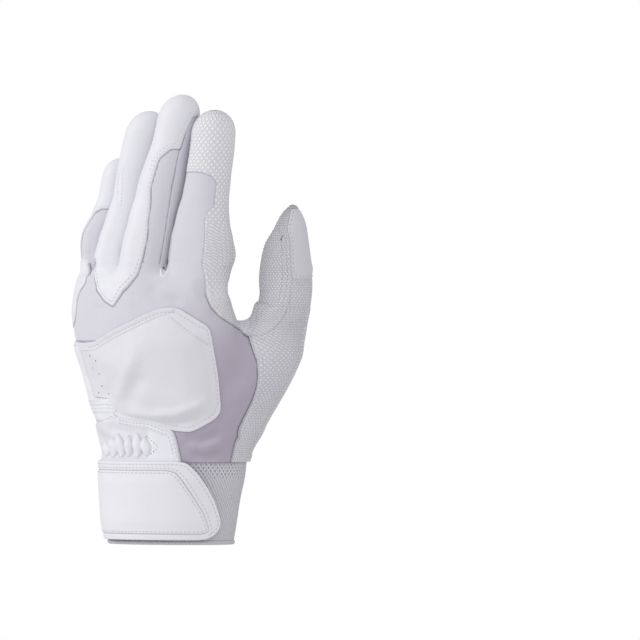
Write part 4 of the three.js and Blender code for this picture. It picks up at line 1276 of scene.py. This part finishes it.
# %% Wrist elastic
BAND_DEEP = -3.4                              # under the deepest pucker
band_skin = on_hand(drawn([(28, 432), (120, 432), (162, 434), (173, 441), (175, 449), (28, 449)]))
elastic_band = build("wrist_elastic_sewn", band_skin, np.full(len(band_skin["p"]), BAND_DEEP), .8,
                     cloth_uv("hand", band_skin["p"]))
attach(elastic_band, "hand")
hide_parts("wrist_elastic")
PIECE["wrist_elastic"] = elastic_band
print("wrist elastic", len(elastic_band.data.polygons))

# %% [markdown]
# ## Stitches
# A stitch row is a line at a fixed distance from a seam. It is found on the panel's own facets,
# evened out to one point per stitch, and a node tree puts a thread loop on each point. So a row
# follows its panel wherever the panel's edge runs, which curves drawn by hand would not.

# %% Lines on a panel


def level_line(m, height, key, level, keep=None):
    """Chains of points, with normals, where a value passes a level on a raised panel."""
    x = m["v"][key] - level
    x = np.where(np.abs(x) < 1e-6, 1e-6, x)
    surface = m["p"] + m["n"] * height[:, None]
    ends = {}
    where, normal = {}, {}
    for tri in m["t"][((x > 0)[m["t"]].sum(1) % 3) > 0]:
        keys = []
        for a, b in ((tri[0], tri[1]), (tri[1], tri[2]), (tri[2], tri[0])):
            if (x[a] > 0) != (x[b] > 0):
                k = (min(a, b), max(a, b))
                t = x[k[0]] / (x[k[0]] - x[k[1]])
                where[k] = surface[k[0]] * (1 - t) + surface[k[1]] * t
                normal[k] = m["n"][k[0]]
                keys.append(k)
        for one, two in (keys, keys[::-1]):
            ends.setdefault(one, []).append(two)
    chains, used = [], set()
    for start in sorted(ends, key=lambda k: len(ends[k])):
        if start in used:
            continue
        chain, at = [start], start
        used.add(start)
        while True:
            nxt = [k for k in ends[at] if k not in used]
            if not nxt:
                break
            at = nxt[0]
            used.add(at)
            chain.append(at)
        if len(ends[start]) == 2 and start in ends[at] and len(chain) > 2:
            chain.append(start)
        p, n = np.array([where[k] for k in chain]), np.array([normal[k] for k in chain])
        if keep is None:
            chains.append((p, n))
            continue
        ok = keep(p, n)
        cuts = np.flatnonzero(np.diff(ok.astype(int))) + 1
        for piece in np.split(np.arange(len(p)), cuts):
            if ok[piece[0]]:
                chains.append((p[piece], n[piece]))
    return chains


def spaced(p, n, pitch):
    """Points at an even pitch along a chain: place, direction and normal."""
    if len(p) < 3:
        return None
    for _ in range(3):
        p = np.concatenate([p[:1], (p[:-2] + 2 * p[1:-1] + p[2:]) / 4, p[-1:]])
    run = np.concatenate([[0], np.cumsum(np.linalg.norm(np.diff(p, axis=0), axis=1))])
    if run[-1] < pitch * 2.5:
        return None
    at = np.arange(pitch * .5, run[-1] - pitch * .4, pitch)
    get = lambda v, s: np.stack([np.interp(s, run, v[:, k]) for k in range(3)], 1)
    return get(p, at), unit(get(p, at + .4) - get(p, at - .4)), unit(get(n, at))


print("line tools ready")

# %% [markdown]
# ### The stitch tree
# One thread loop is a stretched ball of a few dozen faces. The tree turns it along its row and
# upright on the leather, varies its size a little, and makes the copies real.

# %% Stitch nodes


def add_node(tree, kind, links=(), **settings):
    """A node: its settings first, then the values or links of its sockets."""
    node = tree.nodes.new(kind)
    for key, value in settings.items():
        setattr(node, key, value)
    for target, source in links:
        source = getattr(source, "out", source)      # a shader value carries its socket as out
        if isinstance(source, bpy.types.NodeSocket):
            tree.links.new(source, node.inputs[target])
        else:
            node.inputs[target].default_value = source
    return node


def stitch_tree():
    """Stitches on points: the points carry their direction (along) and normal (up)."""
    tree = bpy.data.node_groups.new("stitch_row", "GeometryNodeTree")
    face = tree.interface
    face.new_socket("Geometry", in_out="INPUT", socket_type="NodeSocketGeometry")
    for label, value in (("Length", .0016), ("Thickness", .00042), ("Jitter", .12)):
        face.new_socket(label, in_out="INPUT", socket_type="NodeSocketFloat").default_value = value
    face.new_socket("Seed", in_out="INPUT", socket_type="NodeSocketInt").default_value = 4
    face.new_socket("Material", in_out="INPUT", socket_type="NodeSocketMaterial")
    face.new_socket("Geometry", in_out="OUTPUT", socket_type="NodeSocketGeometry")

    def add(kind, links=(), output=0, **settings):
        return add_node(tree, kind, links, **settings).outputs[output]

    given = add_node(tree, "NodeGroupInput").outputs
    along = add("GeometryNodeInputNamedAttribute", [("Name", "along")], data_type="FLOAT_VECTOR")
    up = add("GeometryNodeInputNamedAttribute", [("Name", "up")], data_type="FLOAT_VECTOR")
    turned = add("FunctionNodeAlignRotationToVector", [("Vector", along)], axis="X")
    level = add("FunctionNodeAlignRotationToVector", [("Rotation", turned), ("Vector", up)],
                axis="Z", pivot_axis="X")
    thick = add("ShaderNodeMath", [(0, given["Thickness"]), (1, .55)], operation="MULTIPLY")
    long = add("ShaderNodeMath", [(0, given["Length"]), (1, .5)], operation="MULTIPLY")
    size = add("ShaderNodeCombineXYZ", [(0, long), (1, thick), (2, thick)])
    ball = add("GeometryNodeMeshUVSphere", [("Segments", 8), ("Rings", 6), ("Radius", 1.0)])
    loop = add("GeometryNodeTransform", [("Geometry", ball), ("Scale", size)])
    smooth = add("GeometryNodeSetShadeSmooth", [(0, loop)])
    less = add("ShaderNodeMath", [(0, 1.0), (1, given["Jitter"])], operation="SUBTRACT")
    more = add("ShaderNodeMath", [(0, 1.0), (1, given["Jitter"])], operation="ADD")
    vary = add("FunctionNodeRandomValue", [(2, less), (3, more), ("Seed", given["Seed"])],
               output=1, data_type="FLOAT")
    points = add("GeometryNodeMeshToPoints", [("Mesh", given["Geometry"])])
    placed = add("GeometryNodeInstanceOnPoints", [
        ("Points", points), ("Instance", smooth), ("Rotation", level), ("Scale", vary)])
    real = add("GeometryNodeRealizeInstances", [(0, placed)])
    painted = add("GeometryNodeSetMaterial", [("Geometry", real), ("Material", given["Material"])])
    add_node(tree, "NodeGroupOutput", [(0, painted)])
    return tree


STITCHES = stitch_tree()
print("stitch nodes", len(STITCHES.nodes))

# %% Sewing


def sew(name, rows, body, material, length=1.7, thick=.46):
    """One stitched piece from rows of (places, directions, normals)."""
    rows = [r for r in rows if r is not None]
    p, along, up = (np.concatenate([r[k] for r in rows]) for k in range(3))
    mesh = bpy.data.meshes.new(name + "_points")
    mesh.vertices.add(len(p))
    mesh.vertices.foreach_set("co", metres(p))
    for key, v in (("along", along), ("up", up)):
        layer = mesh.attributes.new(key, "FLOAT_VECTOR", "POINT")
        layer.data.foreach_set("vector", v.astype(np.float32).ravel())
    points = put_in_scene(name + "_points", mesh)
    modifier = points.modifiers.new("stitches", "NODES")
    modifier.node_group = STITCHES
    ids = {s.name: s.identifier for s in STITCHES.interface.items_tree if s.in_out == "INPUT"}
    modifier[ids["Length"]], modifier[ids["Thickness"]] = length * MM, thick * MM
    modifier[ids["Seed"]], modifier[ids["Material"]] = 4, material
    bpy.context.view_layer.update()
    evaluated = points.evaluated_get(bpy.context.evaluated_depsgraph_get())
    baked = bpy.data.meshes.new_from_object(evaluated)
    bpy.data.objects.remove(points)
    obj = put_in_scene(name, baked)
    bend_with(obj, body)
    print(name, len(p), "stitches")
    return obj


print("sewing ready")

# %% [markdown]
# ## Materials
# `Sock` lets shader maths be written as plain sums, and `Finish` is one material. Patterns read
# each panel's own cloth map, which is in metres, or the object's coordinates, so a pattern keeps
# its real size on every piece.

# %% Shader maths


class Sock:
    """A shader value. Sums and products of these build math nodes."""

    def __init__(self, tree, out):
        self.tree, self.out = tree, out

    def op(self, kind, *others):
        node = add_node(self.tree, "ShaderNodeMath", enumerate((self, *others)), operation=kind)
        return Sock(self.tree, node.outputs[0])

    def __add__(self, o): return self.op("ADD", o)
    def __radd__(self, o): return self.op("ADD", o)
    def __sub__(self, o): return self.op("SUBTRACT", o)
    def __rsub__(self, o): return (self * -1.0).op("ADD", o)
    def __mul__(self, o): return self.op("MULTIPLY", o)
    def __rmul__(self, o): return self.op("MULTIPLY", o)
    def sin(self): return self.op("SINE")
    def abs(self): return self.op("ABSOLUTE")
    def frac(self): return self.op("FRACT")
    def max(self, o): return self.op("MAXIMUM", o)

    def step(self, low, high):
        """0 below low, 1 above high, and soft between."""
        node = add_node(self.tree, "ShaderNodeMapRange",
                        [("Value", self), ("From Min", low), ("From Max", high)],
                        interpolation_type="SMOOTHSTEP")
        return Sock(self.tree, node.outputs["Result"])


class Finish:
    """One procedural material with a Principled shader."""

    def __init__(self, name, rough, sheen=0.0, specular=.4):
        self.mat = bpy.data.materials.new(name)
        self.mat.use_nodes = True
        self.tree = self.mat.node_tree
        self.shader = self.tree.nodes["Principled BSDF"]
        self.shader.inputs["Roughness"].default_value = rough
        self.shader.inputs["Specular IOR Level"].default_value = specular
        self.shader.inputs["Sheen Weight"].default_value = sheen
        self.bumped = None

    def node(self, kind, links=(), **settings):
        return add_node(self.tree, kind, links, **settings)

    def split(self, vector):
        parts = self.node("ShaderNodeSeparateXYZ", [(0, vector)])
        return [Sock(self.tree, o) for o in parts.outputs]

    def place(self):
        return self.node("ShaderNodeTexCoord").outputs["Object"]

    def cloth(self):
        return self.node("ShaderNodeUVMap", uv_map="cloth").outputs[0]

    def value(self, name):
        node = self.node("ShaderNodeAttribute", attribute_name=name)
        return Sock(self.tree, node.outputs["Fac"])

    def noise(self, scale, detail=3.0):
        node = self.node("ShaderNodeTexNoise", [("Vector", self.place()), ("Scale", scale),
                                                ("Detail", detail), ("Roughness", .55)])
        return Sock(self.tree, node.outputs[0])

    def mix(self, amount, one, two):
        links = [(k, (*v, 1) if isinstance(v, tuple) else v)
                 for k, v in ((0, amount), (6, one), (7, two))]
        return self.node("ShaderNodeMix", links, data_type="RGBA").outputs[2]

    def color(self, source):
        self.tree.links.new(source, self.shader.inputs["Base Color"])

    def rough(self, sock):
        self.tree.links.new(sock.out, self.shader.inputs["Roughness"])

    def bump(self, height, depth, strength=1.0):
        """Adds relief of the given depth in metres."""
        links = [("Height", height), ("Distance", depth), ("Strength", strength)]
        if self.bumped is not None:
            links.append(("Normal", self.bumped))
        self.bumped = self.node("ShaderNodeBump", links).outputs[0]
        self.tree.links.new(self.bumped, self.shader.inputs["Normal"])


print("shader tools ready")

# %% [markdown]
# ### Smooth and pressed leather
# Smooth leather has a fine grain, pores and a little grey wear; a photograph of leather would
# bring its own light with it, so all of this is noise. The grip leather is pressed with small
# pillowed diamonds, larger on the index finger than elsewhere, with painted shade in their
# grooves. Both get painted shade at a seam, and the grip leather is darkened by painted shade low
# on the hand and on the thumb side, away from the light.

# %% Leathers
AWAY_X, AWAY_Y = .906, .423                   # across, as seen from the drawing's direction


def dimmed(color, share):
    return tuple(c * share for c in color)


def leather(name, color, shade=(.60, .59, .63)):
    f = Finish(name, .5, specular=.35)
    grain = f.noise(900, 4)
    pores = f.node("ShaderNodeTexVoronoi", [("Vector", f.place()), ("Scale", 1500)], feature="F1")
    cloud = f.noise(45)
    wear = f.noise(210, 5).step(.5, .72)
    # Painted shade along the seams, in the shade colour.
    seam = f.value("seam").step(0, .22)
    base = f.mix(cloud.step(.3, .7), dimmed(color, .975), color)
    base = f.mix(wear * .08, base, (.70, .69, .71))
    base = f.mix(1.0 - seam, base, shade)
    f.color(base)
    f.rough(.44 + grain * .16)
    f.bump(grain, .00008, .6)
    f.bump(Sock(f.tree, pores.outputs[0]), .00005, .5)
    f.bump(f.noise(130), .0005, .35)
    return f.mat


def embossed(name, color, low, thumb, large, fine, depth):
    """Pressed leather: its colour on the fingers, its colours darkened by painted shade low on the
    hand and on the thumb, and the width and height of its large and fine diamonds in metres."""
    f = Finish(name, .58, specular=.3)
    u, v, _ = f.split(f.cloth())
    x, y, z = f.split(f.place())
    on_thumb = (x * AWAY_X + y * AWAY_Y).step(.034, .042)
    wobble = f.noise(160, 2) * .25

    def diamonds(wide, tall):
        one = u * (1 / wide) + v * (1 / tall) + wobble
        two = u * (1 / wide) - v * (1 / tall) + wobble
        far = (one.frac() - .5).abs().max((two.frac() - .5).abs())
        return 1.0 - (far * 2.0).step(.4, 1.0)

    coarse, small = diamonds(*large), diamonds(*fine)
    high_up = z.step(.122, .140) * (1.0 - on_thumb)
    pillow = coarse * high_up + small * (1.0 - high_up)
    grain = f.noise(1100, 4)
    seam = f.value("seam").step(0, .28)
    # Painted shade: paler up the index finger, darker low on the hand and darker still on the thumb
    # side, away from the light.
    up = z.step(.135, .205) * (1.0 - on_thumb)
    ground = f.mix(up, f.mix(on_thumb, low, thumb), color)
    # Painted shade in the grooves between the diamonds.
    low_groove_shade, thumb_groove_shade, groove_shade = (dimmed(c, .86) for c in (low, thumb, color))
    groove_shade = f.mix(up, f.mix(on_thumb, low_groove_shade, thumb_groove_shade), groove_shade)
    base = f.mix(pillow, groove_shade, ground)
    base = f.mix(f.noise(40).step(.35, .75) * .4, base, dimmed(low, .97))
    # Painted shade along the seams.
    base = f.mix(1.0 - seam, base, (.58, .57, .61))
    f.color(base)
    f.rough(.5 + grain * .2)
    f.bump(pillow, depth, .9)
    f.bump(grain, .00006, .5)
    return f.mat


WHITE = (.81, .81, .845)
SMOOTH = leather("smooth_leather", WHITE)
# The pad's leather has a darker painted shade along its rim.
PAD_SKIN = leather("pad_leather", (.755, .755, .785), (.40, .39, .43))
# The thumb's patch is a darker copy of the white leather: painted shade, as the thumb side lies
# away from the light.
THUMB_SHADED_LEATHER = leather("thumb_leather", (.665, .66, .69))
STRAP_SKIN = leather("strap_leather", (.835, .835, .865))
GRIP_SKIN = embossed("embossed_grip_leather", (.87, .87, .895), (.79, .785, .815),
                     (.72, .715, .745), (.0031, .0034), (.0019, .0026), .00036)
print("leathers ready")

# %% [markdown]
# ### Knit, elastic and plain finishes
# Knit is fine columns of loops, drawn by two waves, because modelled loops would be too small to
# see; painted shade darkens the gaps between the loops. A fold gets painted light where it faces
# up and painted shade where it faces down, and the knit has painted shade low on the hand and
# towards the thumb side, and a painted shadow line along the leather's edge. The cuff is an open
# mesh at the top and slanted ribs below, with painted shade in its holes and rib troughs.

# %% Knits, thread and the rest
WAVE = 6283.0                                 # 2 pi for each millimetre, in radians a metre


def knitted(name, high, low):
    """Stretch knit: fine columns of loops, with painted shade low on the hand and towards the thumb
    side, so it is paler over the fingers.
    """
    f = Finish(name, .92, sheen=.15, specular=.2)
    x, y, z = f.split(f.place())
    across = x * AWAY_X + y * AWAY_Y
    columns = (across * (WAVE / .72)).sin()
    rows = (z * (WAVE / .62) + columns * .8).sin()
    loops = columns * .5 + rows * .5
    cloud = f.noise(30).step(.3, .7)
    fuzz = f.noise(2600)
    # Painted shade: darker low on the hand and towards the thumb side, away from the light.
    base = f.mix((z - across).step(.05, .150), low, high)
    base = f.mix(cloud * .06, base, low)
    # Painted shade in the gaps between the loops.
    base = f.mix((1.0 - loops.step(-.9, .5)) * .16, base, low)
    # Painted shade where a fold faces down, and painted light where it faces up.
    fold = f.value("fold")
    base = f.mix(fold.step(.02, .7) * .30, base, dimmed(low, .72))
    base = f.mix((fold * -1.0).step(.02, .7) * .30, base, (.70, .69, .73))
    # Painted shadow line where the leather's raised edge lies over the knit.
    line = f.value("seam").step(.38, .95)
    base = f.mix(1.0 - line, base, (.17, .155, .19))
    f.color(base)
    f.bump(loops, .00012, .5)
    f.bump(fuzz, .00006, .5)
    return f.mat


def elastic(name, color):
    """Cuff knit: an open mesh at the top and slanted ribs below, with painted shade in the holes
    and the rib troughs.
    """
    f = Finish(name, .9, sheen=.1, specular=.2)
    u, v, _ = f.split(f.cloth())
    slant = (u * (WAVE / 1.55) + v * (WAVE / 2.6)).sin()
    fine = (u * (WAVE / .8)).sin() * .5 + (v * (WAVE / .9)).sin() * .5
    one = (u * (1000 / 2.2) + v * (1000 / 3.4)).frac() - .5
    two = (u * (1000 / 2.2) - v * (1000 / 3.4)).frac() - .5
    hole = 1.0 - one.abs().max(two.abs()).step(.10, .26)
    top = v.step(.0335, .0375) * (1.0 - v.step(.0425, .0435))
    ribs = slant * .7 + fine * .3
    # Painted shade in the rib troughs.
    base = f.mix(ribs.step(-1, .7), dimmed(color, .74), color)
    # Painted shade in the open mesh's holes.
    base = f.mix(hole * top, base, (.40, .39, .42))
    base = f.mix(f.noise(60).step(.35, .7) * .25, base, dimmed(color, .9))
    f.color(base)
    f.bump(ribs * (1.0 - top * .6), .0003, .7)
    f.bump(1.0 - hole * top, .0005, .8)
    f.bump(f.noise(2200), .0001, .5)
    return f.mat


def plain(name, color, rough):
    f = Finish(name, rough, specular=.25)
    f.color(f.mix(f.noise(300, 4).step(.3, .7), dimmed(color, .93), color))
    f.bump(f.noise(1500), .00008, .5)
    return f.mat


STRETCH = knitted("stretch_knit", (.735, .727, .775), (.45, .41, .485))
RIBBED = elastic("ribbed_elastic", (.70, .695, .735))
# The sewing thread is greyer than the leather: partly its own colour, partly painted shade of the
# stitch holes.
THREAD = plain("sewing_thread", (.66, .66, .70), .7)
PALE_THREAD = plain("pale_thread", (.74, .74, .775), .7)
# A darker copy of the thread for the thumb: painted shade, as the thumb side lies away from the
# light.
SHADED_THREAD = plain("shaded_thread", (.52, .515, .55), .7)
CROTCH_THREAD = plain("crotch_thread", (.90, .90, .92), .6)
# Dark dots of painted shadow for punched holes, slits and openings.
SHADOW = plain("painted_hole_shadow", (.16, .155, .17), .95)
FOAM_SKIN = plain("pad_foam", (.78, .76, .72), .9)
NYLON = plain("hook_and_loop", (.74, .74, .76), .9)
print("finishes", len(bpy.data.materials))

# %% [markdown]
# ### A finish for every piece
# Each piece gets its finish. The tables pair every finish with its slot, the material's place in
# the imported model; two finishes may share one.

# %% Paint the pieces
FINGER_KINDS = {k: v for panels in FINGER_PANELS.values() for k, v in panels.items()}
KINDS = {**HAND_PANELS, **FINGER_KINDS}
KIND_FINISH = {KNIT: (STRETCH, "knit"), LEATHER: (SMOOTH, "smooth_leather"),
               GRIP: (GRIP_SKIN, "grip_leather")}
STRAP_FINISH, ELASTIC_FINISH = (STRAP_SKIN, "smooth_leather"), (RIBBED, "elastic_knit")
NYLON_FINISH = (NYLON, "hook_and_loop")
OTHERS = {
    "back_pad_cover": (PAD_SKIN, "smooth_leather"), "back_pad_foam": (FOAM_SKIN, "pad_foam"),
    "strap_base": STRAP_FINISH, "strap_border": STRAP_FINISH,
    "strap_raised_panel": STRAP_FINISH, "strap_root_tab": STRAP_FINISH,
    "cuff_band": ELASTIC_FINISH, "cuff_hem": ELASTIC_FINISH, "wrist_elastic": ELASTIC_FINISH,
    "slit_gusset": KIND_FINISH[KNIT], "thumb_smooth_patch": (THUMB_SHADED_LEATHER, "smooth_leather"),
    "cuff_loop_patch": NYLON_FINISH, "strap_hook_patch": NYLON_FINISH}
for name, obj in PIECE.items():
    mat, slot = OTHERS[name] if name in OTHERS else KIND_FINISH[KINDS[name]]
    obj.data.materials.append(mat)
print("painted", len(PIECE))

# %% [markdown]
# ## Sewing the glove
# Each row follows a panel's edge. A row is kept only where the real glove shows thread, so each
# has a test of where it may run.

# %% Where thread shows


def back_side(p, n):
    return facing(n) > -.15


def low_seam(p, n):
    return (facing(n) > -.2) & (p[:, 2] > 46)


def shirr_seam(p, n):
    return low_seam(p, n) & (seen(p)[:, 0] > -28)


def not_left(p, n):
    return back_side(p, n) & (to_line(seen(p), LEFT)[0] > 3.4)


def middle_tip(p, n):
    return (facing(n) > 0) & (p[:, 2] > 196)


def rows_of(name, level, pitch=2.3, keep=back_side, key="valley"):
    """Stitch rows at a distance from a panel's edge."""
    m, height = MESH[name]
    return [spaced(p, n, pitch) for p, n in level_line(m, height, key, level, keep)]


def outside_of(node):
    """A piece's outer points on the drawing's side, and their normals."""
    m, height = MESH[node]
    front = facing(m["n"]) > 0
    return (m["p"] + m["n"] * height[:, None])[front], m["n"][front]


def laid_on(node, line, pitch):
    """A row along a drawn line, laid on a piece."""
    surface, up = outside_of(node)
    flat = seen(surface)
    steps = [np.linspace(a, b, 12, endpoint=False) for a, b in zip(line[:-1], line[1:])]
    steps = np.concatenate(steps + [line[-1:]])
    nearest = [np.argsort(((flat - s) ** 2).sum(1))[:5] for s in steps]
    return spaced(np.array([surface[k].mean(0) for k in nearest]),
                  np.array([up[k].mean(0) for k in nearest]), pitch)


print("rows ready")

# %% [markdown]
# ### Rows on the hand, the pad and the strap
# The seam below the knit is sewn twice, and so is the strap: once along its border and once
# inside the raised panel.

# %% Sew the hand and the strap
sew("hand_stitches", rows_of("side_leather_panel", 1.5, keep=low_seam)
    + rows_of("little_side_panel", 1.4) + rows_of("finger_root_leather", 1.3)
    + rows_of("shirred_wrist_panel", 1.3, keep=shirr_seam)
    + rows_of("shirred_wrist_panel", 3.0, keep=shirr_seam), "hand", THREAD)
sew("pad_stitches", rows_of("back_pad_cover", SEAM_IN, key="row", keep=not_left)
    + [laid_on("back_pad_cover", CORNER, 2.1)], "hand", THREAD)
sew("strap_stitches", rows_of("strap_border", 1.5, key="in", keep=None)
    + rows_of("strap_raised_panel", 1.2, key="in", keep=None), "strap", THREAD)

# %% [markdown]
# ### Punched holes
# A hole in leather this small is seen only as a dark dot, so a dot of painted shadow is set into
# the surface. The stitch tree makes it too, with the painted shadow finish instead of thread. The
# crotch's opening and the thumb's slit are dots of painted shadow as well.

# %% Vents, shirring holes and the crotch
VENTS = [(89.5, 356), (95.5, 361), (92.6, 368), (99, 374), (102, 386), (98.5, 393), (109, 394)]
HOLES = [(147.5, 436), (150, 438), (152.5, 440.2), (155, 442.4), (157.5, 444.6), (159, 446.6),
         (157, 448.8), (154.6, 451), (152.2, 453)]
CROTCH = drawn([(161, 269), (162, 274.5), (165, 277.5), (168, 274), (168.6, 267)])
CROTCH_OPENING = [(164, 268), (165.5, 270)]
THUMB_SLIT = [(282.6, 236.8), (282.1, 238.4), (281.6, 240)]
HOLE_SUNK = .17


def dots(node, places):
    """Holes punched through leather: a small dark dot of painted shadow set into the surface at
    each place.
    """
    surface, up = outside_of(node)
    flat, at = seen(surface), []
    for s in drawn(places):
        k = np.argsort(((flat - s) ** 2).sum(1))[:3]
        n = up[k].mean(0)
        right = np.cross(n, (0, 0, 1))
        foot = surface[k].mean(0) - n * HOLE_SUNK
        move = s - seen(foot[None])[0]
        sideways = np.array([math.cos(VIEW), math.sin(VIEW), 0])
        foot = foot + sideways * move[0] + np.array([0, 0, 1]) * move[1]
        at.append((foot, right / np.linalg.norm(right), n / np.linalg.norm(n)))
    return tuple(np.array([a[k] for a in at]) for k in range(3))


sew("back_pad_vents", [dots("back_pad_cover", VENTS)], "hand", SHADOW, .75, .68)
sew("shirring_holes", [dots("shirred_wrist_panel", HOLES)], "hand", SHADOW, .62, .56)
sew("crotch_stitches", [laid_on("back_knit_panel", CROTCH, 1.1)], "hand", CROTCH_THREAD, 1.5, .95)
sew("crotch_opening", [dots("back_knit_panel", CROTCH_OPENING)], "hand", SHADOW, 1.5, 1.1)
sew("thumb_slit", [dots("thumb_inner_panel", THUMB_SLIT)], "thumb", SHADOW, .95, .7)

# %% [markdown]
# ### Rows on the fingers
# Finger seams are sewn with a finer, paler thread. The ring finger has two short rows down its
# back, and the thumb two close rows beside its seam, in a thread darkened by painted shade.

# %% Sew the fingers
RING_ROWS = [drawn([(118.5, 168), (117.5, 188), (116.5, 210)]),
             drawn([(123, 167), (122, 187), (121, 208)])]
FINE = (PALE_THREAD, 1.4, .38)
sew("index_stitches", rows_of("index_wrap_panel", 1.3), "index_finger", PALE_THREAD, 1.5, .4)
sew("middle_stitches", rows_of("middle_tip_panel", 1.2)
    + rows_of("middle_tip_panel", 2.7, keep=middle_tip), "middle_finger", *FINE)
sew("ring_stitches", rows_of("ring_tip_panel", 1.2)
    + [laid_on("ring_tip_panel", row, 1.9) for row in RING_ROWS], "ring_finger", *FINE)
sew("little_stitches", rows_of("little_tip_panel", 1.2), "little_finger", *FINE)
sew("thumb_stitches", rows_of("thumb_smooth_patch", 1.1)
    + rows_of("thumb_inner_panel", 2.2, pitch=1.8)
    + rows_of("thumb_inner_panel", 4.8, pitch=1.8), "thumb", SHADED_THREAD, 1.0, .46)

# %% [markdown]
# ## Studio
# The photograph has a white ground with no cast shadow, and soft light from the left. The room
# seen by the camera is white, and the light that reaches the glove is softer than that, so the
# white leather keeps its shading.

# %% Light
for o in [o for o in bpy.data.objects if o.name in ("Cube", "Light", "Camera")]:
    bpy.data.objects.remove(o)


def lamp(name, place, size, power, aim=(0, 0, .12)):
    light = bpy.data.lights.new(name, "AREA")
    light.shape, light.size, light.energy = "DISK", size, power
    o = put_in_scene(name, light)
    o.location = place
    o.rotation_euler = (Vector(aim) - Vector(place)).to_track_quat("-Z", "Y").to_euler()


lamp("key_left", (-1.55, -.95, .75), .9, 12)
lamp("front_soft", (.9, -1.9, .6), 1.3, 7)
world = bpy.data.worlds.new("studio")
bpy.context.scene.world = world
world.use_nodes = True
tree = world.node_tree
soft = tree.nodes["Background"]
soft.inputs["Color"].default_value = (.97, .965, 1, 1)
soft.inputs["Strength"].default_value = .70
seen_white = add_node(tree, "ShaderNodeBackground", [("Color", (1, 1, 1, 1)), ("Strength", 1.0)])
rays = add_node(tree, "ShaderNodeLightPath")
pick = add_node(tree, "ShaderNodeMixShader", [
    (0, rays.outputs["Is Camera Ray"]), (1, soft.outputs[0]), (2, seen_white.outputs[0])])
tree.links.new(pick.outputs[0], tree.nodes["World Output"].inputs["Surface"])
print("lights", len(bpy.data.lights))

# %% [markdown]
# ## Camera
# The photograph shows almost no perspective, so the lens is long and stands far off, square to
# the drawing's direction.

# %% Camera and finish
LENS_MM, SENSOR_MM = 450, 36
CAMERA_ACROSS, CAMERA_UP, CAMERA_OFF = .0744, .1187, 4.239       # metres
lens = bpy.data.cameras.new("photo_camera")
lens.lens, lens.sensor_width = LENS_MM, SENSOR_MM
camera = put_in_scene("photo_camera", lens)
right = np.array([math.cos(VIEW), math.sin(VIEW), 0])
toward = np.array([math.sin(VIEW), -math.cos(VIEW), 0])
camera.location = right * CAMERA_ACROSS + np.array([0, 0, CAMERA_UP]) + toward * CAMERA_OFF
camera.rotation_euler = Vector(tuple(-toward)).to_track_quat("-Z", "Y").to_euler()
bpy.context.scene.camera = camera
bpy.context.scene.view_settings.view_transform = "Standard"
low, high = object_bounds()
print("camera and light ready")
